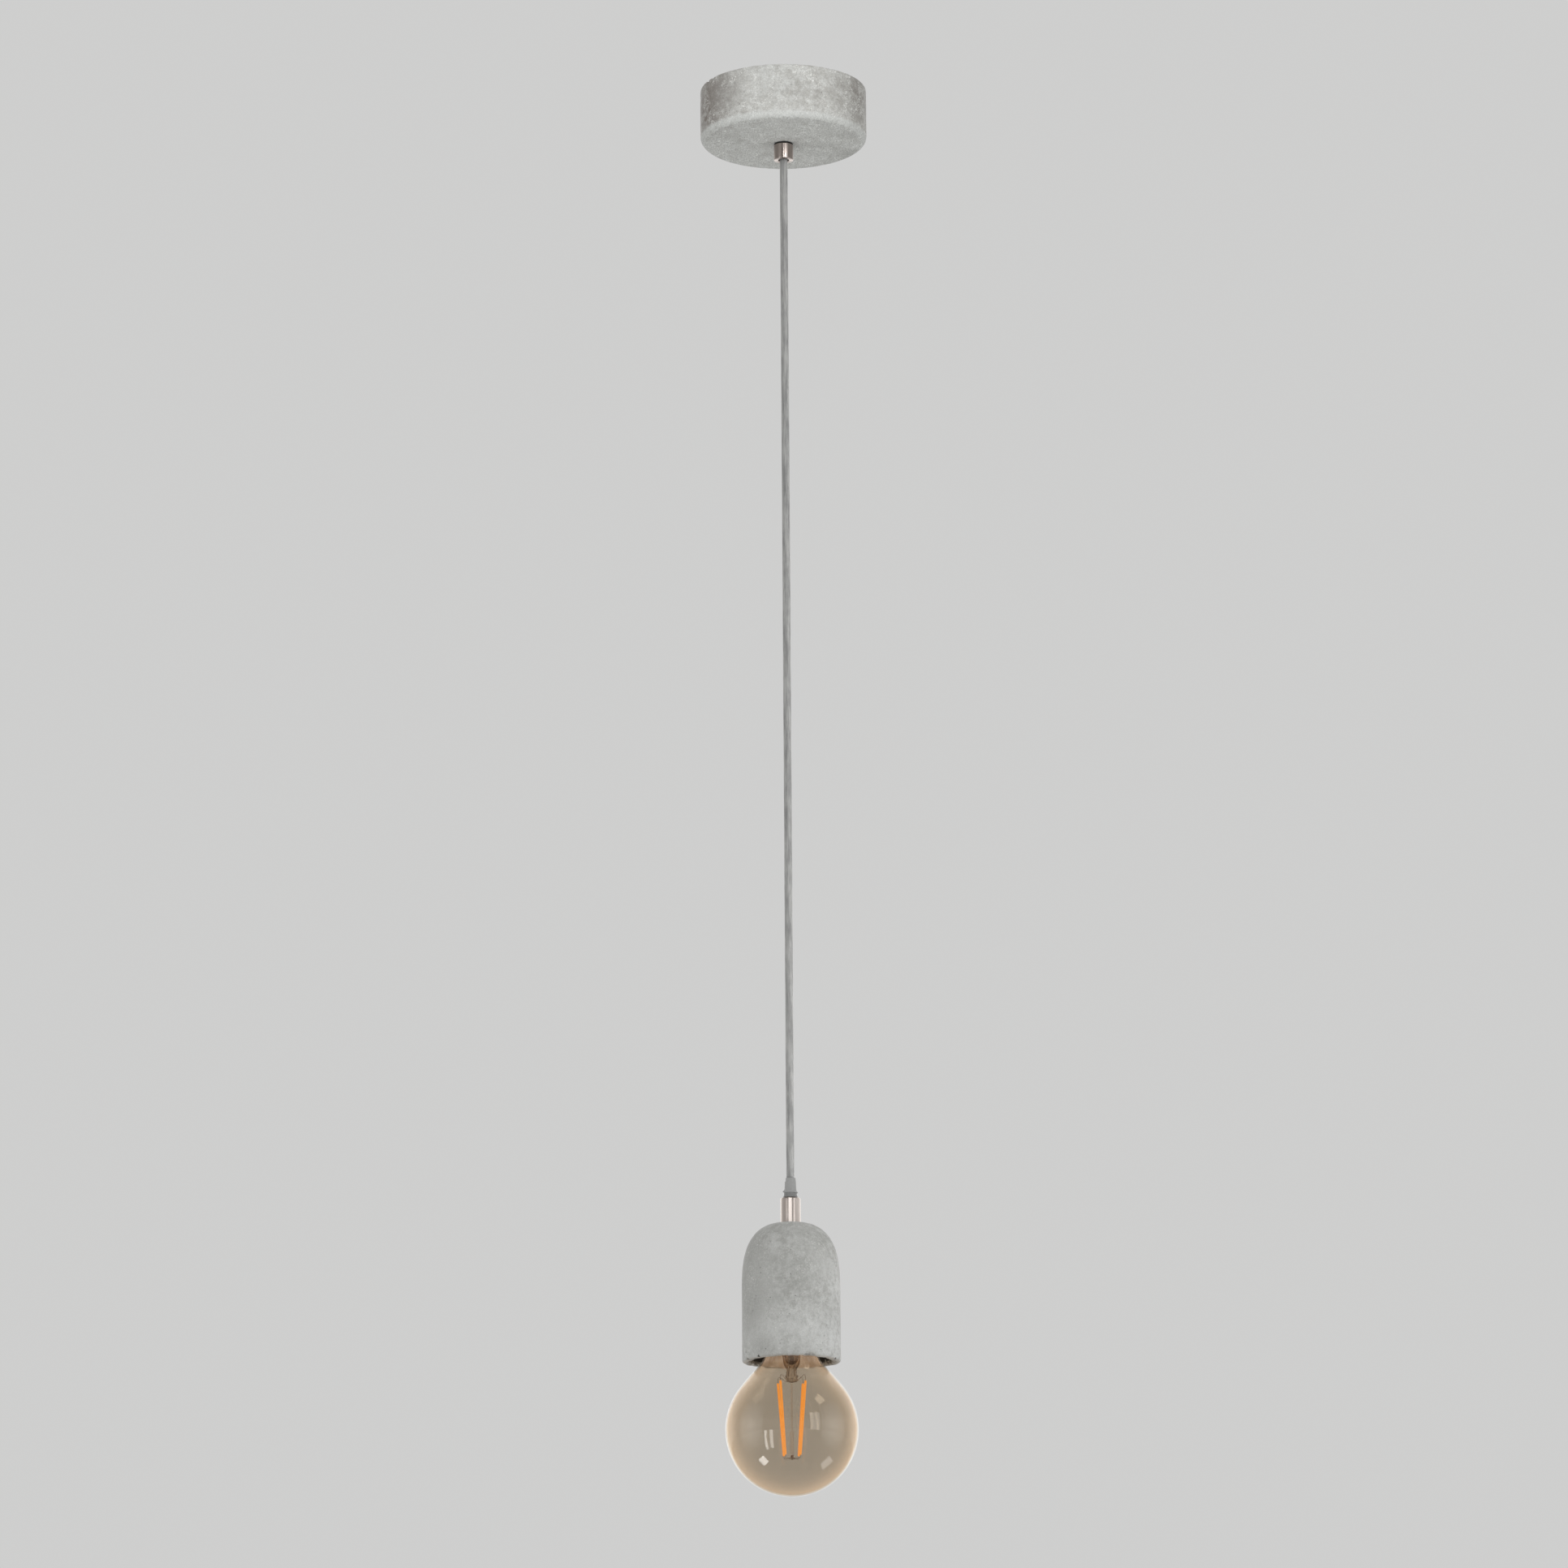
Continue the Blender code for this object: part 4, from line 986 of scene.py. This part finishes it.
def cup():
    outside = [p for p in dome(CUP_RADIUS, CUP_TOP, DOME_HEIGHT, 60) if p[0] > THREAD_HOLE + 0.0006]
    inside_top = CUP_TOP - CUP_ROOF
    inner = CUP_RADIUS - CUP_WALL
    inside = [p for p in dome(inner, inside_top, DOME_HEIGHT - CUP_ROOF, 30) if p[0] > CUP_SEAT]
    lip = soften(
        [
            outside[-1], (CUP_RADIUS, CUP_RIM, 0.0009), (inner, CUP_RIM, 0.0008),
            (inner, CUP_RIM + 0.0040),
        ],
        steps=5,
    )
    outline = fine([(THREAD_HOLE, CUP_TOP)] + outside + lip[1:], 0.00072)
    lining = [(inner, CUP_RIM + 0.0040)] + inside[::-1]
    lining += [(CUP_SEAT, inside_top), (THREAD_HOLE, inside_top)]
    outline += fine(lining, 0.0018)[1:]
    form = spin(outline, 264, closed=True)
    chips = list(CUP_CHIPS)
    for number in range(40):
        angle = number * GOLDEN_ANGLE
        size = 0.0009 + 0.0013 * noise.cell(Vector((number * 3.7, 1.0, 2.0)))
        reach = inner + 0.0003 + 0.0010 * noise.cell(Vector((number * 1.9, 5.0, 3.0)))
        chips.append(((reach * cos(angle), reach * sin(angle), CUP_RIM), size, size * 0.5))

    hollow, wall_top, rim_top, collar_seat = inner + 0.0011, -0.7630, CUP_RIM + 0.0012, 0.0090

    def hidden(place):
        """In the hollow, on the rim, or under the collar."""
        reach = place.xy.length
        return reach < hollow and place.z < wall_top or place.z < rim_top or reach < collar_seat

    eroded(form, chips, 0.00016, 0.00007, (150, 0.00040), 9.1, hidden)
    for vert in form.verts:
        low = smooth_step((CUP_RIM + 0.006 - vert.co.z) / 0.006)
        if low:
            angle = vert.co.xy.angle_signed(Vector((1, 0)), 0)
            wave = noise.noise(Vector((cos(angle) * 3, sin(angle) * 3, 5.0)))
            wave += 0.5 * noise.noise(Vector((cos(angle) * 9, sin(angle) * 9, 2.0)))
            near = smooth_step(-vert.co.y / CUP_RADIUS)
            vert.co.z += low * (WORN * (1 + wave) + WORN_IN_FRONT * near)
    finish("cup_cast", form, "cup_group", CUP_CONCRETE, ["shade_cup"], sharp=70)


cup()

# ---------------------------------------------------------------- lampholder in the cup

HOLDER_RADIUS = 0.0190
CAP_PITCH = 0.0218 / 6


def holder():
    inner = HOLDER_RADIUS - 0.0018
    top, bottom = -0.7503, -0.7930

    def ribs(angle, radius, height):
        """The outer thread that takes a shade ring."""
        if radius < HOLDER_RADIUS - 0.0001 or not bottom + 0.004 < height < top - 0.006:
            return radius
        return radius - 0.00045 * thread_wave(angle, height, 0.0028)

    outline = fine([(HOLDER_RADIUS, top), (HOLDER_RADIUS, bottom + 0.0008)], 0.0004)
    outline += [
        (HOLDER_RADIUS - 0.0002, bottom + 0.0003), (HOLDER_RADIUS - 0.0008, bottom),
        (0.0156, bottom), (0.0152, bottom + 0.0003), (0.0152, bottom + 0.0013),
        (inner, bottom + 0.0013), (inner, top),
    ]
    form = spin(outline, 96, ribs, closed=True)
    finish("holder_skirt", form, "cup_group", PHENOLIC, ["holder_body"])

    low, high = -0.7910, -0.7631
    crest, root, outer = 0.01365, 0.01335, 0.0143

    def shell(angle, radius, height):
        return radius + (crest - root) * (thread_wave(angle, height, CAP_PITCH) - 1)

    outside = fine([(outer, high), (outer, low)], 0.0004)
    inside = fine([(crest, low), (crest, high)], 0.0004)
    form = spin(outside + inside, 72, shell, closed=True)
    finish("holder_thread", form, "cup_group", BRASS, ["screw_shell"])
    threaded_tube("cup_tube", -0.7095, -0.7415, "cup_group", ["holder_tube"])
    hex_nut("cup_nut", -0.7303, "cup_group", ["holder_nut"])


holder()

# ---------------------------------------------------------------- bulb

GLOBE_RADIUS = 0.0400
GLOBE_Z = -0.8468
GLASS = 0.0008
NECK_FILLET = 0.0450
NECK_RADIUS = 0.0122
SHOULDER_Z = -0.8138
SHOULDER_FULLNESS = 0.0011
SHOULDER_REACH = 0.0043
CAP_RIM = -0.7930
GLOBE_SIDES = 128
FIRST_FILAMENT = radians(-39)


def globe_side(inset, from_height, neck_count, ball_count):
    """The globe's outline from a height in its neck to its lowest point, set in by a wall."""
    fillet = NECK_FILLET + inset
    ball = GLOBE_RADIUS - inset
    centre_radius = NECK_RADIUS + NECK_FILLET
    centre_z = GLOBE_Z + sqrt((GLOBE_RADIUS + NECK_FILLET) ** 2 - centre_radius**2)
    slope = acos(centre_radius / (GLOBE_RADIUS + NECK_FILLET))
    start = asin((centre_z - from_height) / fillet)
    points = []
    for step in range(neck_count):
        angle = start + (slope - start) * step / neck_count
        points.append((centre_radius - fillet * cos(angle), centre_z - fillet * sin(angle)))
    for step in range(ball_count + 1):
        angle = slope + (-pi / 2 - slope) * step / ball_count
        radius = ball * cos(angle) if step < ball_count else 0
        points.append((radius, GLOBE_Z + ball * sin(angle)))

    def fuller(radius, z):
        return radius + SHOULDER_FULLNESS * exp(-((z - SHOULDER_Z) / SHOULDER_REACH) ** 2)

    return [(fuller(radius, z) if radius else 0, z) for radius, z in points]


def globe():
    neck_top = CAP_RIM + 0.0060
    below_cap = CAP_RIM - 0.0003
    outside = globe_side(0, below_cap - 0.0001, 40, 64)
    inside = globe_side(GLASS, below_cap - 0.0010, 40, 64)
    inner, middle, outer = 0.0112, 0.0116, 0.0120
    outline = inside[::-1] + [(inner, below_cap), (inner, neck_top), (middle, neck_top + 0.0002)]
    outline += [(outer, neck_top), (outer, below_cap)] + outside
    form = spin(outline, GLOBE_SIDES)
    made = finish("globe", form, "bulb", AMBER, ["bulb_glass"], sharp=60)
    lining = made.data.attributes.new("lining", "FLOAT", "POINT")
    inner_count = 1 + GLOBE_SIDES * (len(inside) - 1)
    lining.data.foreach_set("value", [float(i < inner_count) for i in range(len(made.data.vertices))])


def cap():
    """The screw cap with its rolled right-handed thread."""
    crest, plain, root = 0.01308, 0.01295, 0.01238
    shoulder = -0.7745

    def thread(angle, radius, height):
        if radius < 0.0119:
            return radius
        edge = smooth_step((shoulder - 0.0006 - height) / 0.0022)
        edge *= smooth_step((height - CAP_RIM - 0.0015) / 0.0022)
        wave = thread_wave(angle, height, CAP_PITCH)
        return radius + edge * ((root - plain) + (crest - root) * wave)

    side = fine([(plain, CAP_RIM), (plain, shoulder)], 0.00032)
    outline = side + [(0.0126, shoulder + 0.0009), (0.0118, shoulder + 0.0019), (0.0100, -0.7714)]
    outline += [(0.0080, -0.7706), (0.0076, -0.7709), (0.0098, -0.7718), (0.0112, shoulder + 0.0010)]
    outline += [(0.0121, shoulder - 0.0005), (0.0121, CAP_RIM)]
    form = spin(outline, 96, thread, closed=True)
    finish("cap_shell", form, "bulb", CAP_NICKEL, ["bulb_cap"], sharp=50)


def stem():
    """The drawn and pinched glass stem with its exhaust tube and feed wires, and the rod below it."""
    rim = CAP_RIM + 0.0057

    def pinched(angle, radius, height):
        share = smooth_step((-0.8105 - height) / 0.003)
        flat = 1 + share * 0.14 * cos(2 * (angle - radians(6)))
        lumps = noise.noise(Vector((cos(angle) * 2.2, sin(angle) * 2.2, height * 1100)))
        return radius * flat * (1 + 0.34 * share * lumps)

    outline = [
        (0, -0.8080), (0.0026, -0.8070), (0.0038, -0.8054), (0.0042, -0.8030), (0.0047, -0.7985),
        (0.0062, -0.7922), (0.0085, rim - 0.0016), (0.0098, rim - 0.0007), (0.0098, rim),
        (0.0106, rim), (0.0106, rim - 0.0011), (0.0094, rim - 0.0024), (0.0072, rim - 0.0055),
        (0.0059, -0.7985), (0.0054, -0.8030), (0.0052, -0.8056), (0.0048, -0.8075), (0.0041, -0.8089),
        (0.0033, -0.8101), (0.0028, -0.8115), (0.0028, -0.8132), (0.0031, -0.8149), (0.0031, -0.8167),
        (0.0024, -0.8180), (0, -0.8187),
    ]
    form = spin(fine(outline, 0.0006), 64, pinched)
    finish("stem", form, "bulb", CLEAR, ["glass_stem"], sharp=60)

    outline = fine([(0.0015, rim - 0.0020), (0.0015, -0.8060)], 0.0010)
    outline += fine([(0.0015, -0.8060), (0.0010, -0.8078), (0, -0.8079)], 0.0006)[1:]
    form = spin([(0, rim - 0.0019)] + outline, 24)
    finish("stem_exhaust", form, "bulb", CORE, [], sharp=60)
    form = bmesh.new()
    for side in (-1, 1):
        stations = [
            (side * 0.0030, 0.0006, rim - 0.0020), (side * 0.0026, 0, -0.7980),
            (side * 0.0023, 0, -0.8050), (side * 0.0016, 0, -0.8100), (side * 0.0018, 0, -0.8150),
        ]
        wire_form(stations, 0.00025, form=form)
    finish("stem_feed_wires", form, "bulb", LEAD, [])

    outline = fine([(0.00038, -0.8189), (0.00038, -0.8478)], 0.0008)
    beads = [(r + 0.00014 * sin(i * 1.7) ** 2, z) for i, (r, z) in enumerate(outline)]
    outline = [(0, -0.8189)] + beads + [(0.0009, -0.8482), (0.0014, -0.8489), (0.0011, -0.8497)]
    outline += fine([(0.0010, -0.8499), (0.0010, -0.8612)], 0.001) + [(0.0008, -0.8618), (0, -0.8618)]
    finish("stem_rod", spin(outline, 24), "bulb", ROD, ["glass_rod"], sharp=60)


def filaments():
    for number in range(4):
        turn = FIRST_FILAMENT + number * pi / 2

        def at(radius, height, turn=turn):
            return Vector((radius * cos(turn), radius * sin(turn), height))

        top, foot = at(0.0108, -0.8172), at(0.0063, -0.8632)
        down = (foot - top).normalized()
        stations = [top + (foot - top) * i / 30 for i in range(31)]
        stations[0] += down * 0.0008
        stations[-1] -= down * 0.0008
        route, radius = ball_ends(stations, 0.00072)
        form = sweep(route, radius, 20)
        finish(f"filament_strip_{number + 1}", form, "bulb", FILAMENT, [f"filament_{number + 1}"])
        stations = [
            at(0.0026, -0.8168), at(0.0045, -0.8176), at(0.0072, -0.8158), at(0.0096, -0.8146),
            at(0.0106, -0.8156), top + down * 0.0010,
        ]
        form = wire_form(stations, 0.00014)
        finish(f"lead_{number + 1}", form, "bulb", LEAD, [f"lead_wire_{number + 1}"])


def anchor():
    """The small metal foot under the rod with its crossed wires to the filaments' lower ends."""
    outline = soften(
        [
            (0, -0.8621), (0.0008, -0.8621, 0.0002), (0.0010, -0.8634, 0.0002),
            (0.0010, -0.8648, 0.0003), (0, -0.8650),
        ]
    )
    form = spin(outline, 32)
    spin(arc((0.0017, -0.8641), 0.0004, 0, 315, 8), 32, closed=True, form=form)
    for number in range(2):
        turn = FIRST_FILAMENT + number * pi / 2
        half = [(0.0063, -0.8624), (0.0062, -0.8637), (0.0050, -0.8642), (0.0018, -0.8640)]
        across = [(-r, z) for r, z in half] + half[::-1]
        stations = [(r * cos(turn), r * sin(turn), z) for r, z in across]
        wire_form(stations, 0.00016, 4, form=form)
    finish("anchor_foot", form, "bulb", LEAD, ["filament_anchor"])


globe()
cap()
stem()
filaments()
anchor()

# ---------------------------------------------------------------- floor, world and lights

FLOOR_SIZE = 40
FLOOR_Z = -4.5


def studio():
    form = bmesh.new()
    bmesh.ops.create_grid(form, x_segments=4, y_segments=4, size=FLOOR_SIZE)
    bmesh.ops.translate(form, verts=form.verts, vec=(0, 0, FLOOR_Z))
    mesh = bpy.data.meshes.new("floor")
    form.to_mesh(mesh)
    form.free()
    floor = bpy.data.objects.new("floor", mesh)
    bpy.context.collection.objects.link(floor)
    mesh.materials.append(plastic("floor_paint", (0.70, 0.70, 0.69), 0.8, 0.01, 3))

    world = bpy.data.worlds.new("studio")
    world.use_nodes = True
    tree = world.node_tree
    tree.nodes.clear()
    way = node(tree, "ShaderNodeTexCoord").outputs["Generated"]
    parts = node(tree, "ShaderNodeSeparateXYZ", {0: way}).outputs
    forward = times(tree, parts["Y"], -1.0)
    room = blend_colour(
        tree, between(tree, parts["Z"], 0.14, 0.30), (0.36, 0.335, 0.32), (0.07, 0.060, 0.053)
    )
    mirror_view = blend_colour(tree, between(tree, forward, -0.80, -0.25), (1.30, 1.30, 1.28), room)
    mirrored = node(tree, "ShaderNodeLightPath").outputs["Is Glossy Ray"]
    colour = blend_colour(tree, mirrored, (0.62, 0.62, 0.615), mirror_view)
    sky = node(tree, "ShaderNodeBackground", {"Color": colour, "Strength": 1.0})
    node(tree, "ShaderNodeOutputWorld", {"Surface": sky.outputs[0]})
    bpy.context.scene.world = world
    bpy.context.scene.view_settings.view_transform = "Standard"


def softbox(name, aim, azimuth, elevation, distance, width, height, radiance, only=None, **settings):
    """A rectangular light round a point; azimuth is from the front towards +X, in degrees.

    only names the one piece that the light falls on. The settings are mirrored, roll and spread.
    """
    a, e = radians(azimuth), radians(elevation)
    way = Vector((sin(a) * cos(e), -cos(a) * cos(e), sin(e)))
    data = bpy.data.lights.new(name, "AREA")
    data.shape = "RECTANGLE"
    data.size, data.size_y = width, height
    data.energy = radiance * pi * width * height
    data.spread = radians(settings.get("spread", 180))
    lamp = bpy.data.objects.new(name, data)
    roll = Matrix.Rotation(radians(settings.get("roll", 0)), 4, "Z")
    lamp.matrix_world = Matrix.Translation(Vector(aim) + way * distance) @ (
        way.to_track_quat("Z", "Y").to_matrix().to_4x4() @ roll
    )
    lamp.visible_camera = False
    lamp.visible_glossy = settings.get("mirrored", True)
    bpy.context.collection.objects.link(lamp)
    if only:
        chosen = bpy.data.collections.new(name + "_on")
        chosen.objects.link(bpy.data.objects[only])
        lamp.light_linking.receiver_collection = chosen


studio()
BULB = (0, 0, GLOBE_Z)
CORD_MIDDLE = (0, 0, -0.40)
softbox("strip_left", BULB, -49, -20, 2.5, 0.20, 1.35, 6.0, roll=-8)
softbox("strip_left_inner", BULB, -38, -20, 2.5, 0.25, 1.35, 4.5, roll=-8)
softbox("low_left", BULB, -79, -47.5, 2.6, 0.65, 0.52, 9.0)
softbox("right", BULB, 41, 9, 2.6, 0.80, 1.30, 1.5)
softbox("low_right", BULB, 98, -43.5, 2.6, 0.70, 0.70, 3.0)
softbox("canopy_key", (0, 0, -0.020), 2, 6, 0.60, 0.30, 0.20, 7.4, mirrored=False)
softbox("cup_fill", (0, 0, -0.770), 75, -3, 0.90, 0.35, 0.35, 4.5, mirrored=False)
for side_name, side in (("left", -1), ("right", 1)):
    softbox("panel_" + side_name, BULB, side * 78, 4, 2.5, 2.4, 3.0, 0.22, "globe", spread=70)
for side_name, side in (("left", -1), ("right", 1)):
    softbox("neck_" + side_name, BULB, side * 50, -25, 1.5, 0.9, 0.9, 7.0, "globe", mirrored=False)
softbox("collar_front", CORD_MIDDLE, -4, 14, 2.6, 1.90, 1.8, 2.3, "collar_barrel")
softbox("collar_left", CORD_MIDDLE, -82, 14, 2.6, 4.4, 1.8, 0.32, "collar_barrel")
softbox("collar_right", CORD_MIDDLE, 82, 14, 2.6, 4.4, 1.8, 0.72, "collar_barrel")
softbox("grip_inner", (0, 0, -0.035), 3, 0, 2.6, 0.46, 1.4, 9.0, "grip_barrel")
softbox("grip_outer", (0, 0, -0.035), 25, 0, 2.6, 0.70, 1.4, 9.0, "grip_barrel")
softbox("cord_side", (0, 0, -0.37), 80, 0, 1.5, 0.30, 1.2, 6.0, "cable", mirrored=False)
softbox("grip_under", (0, 0, -0.045), 180, -18, 1.5, 0.9, 0.6, 1.15, "grip_barrel")
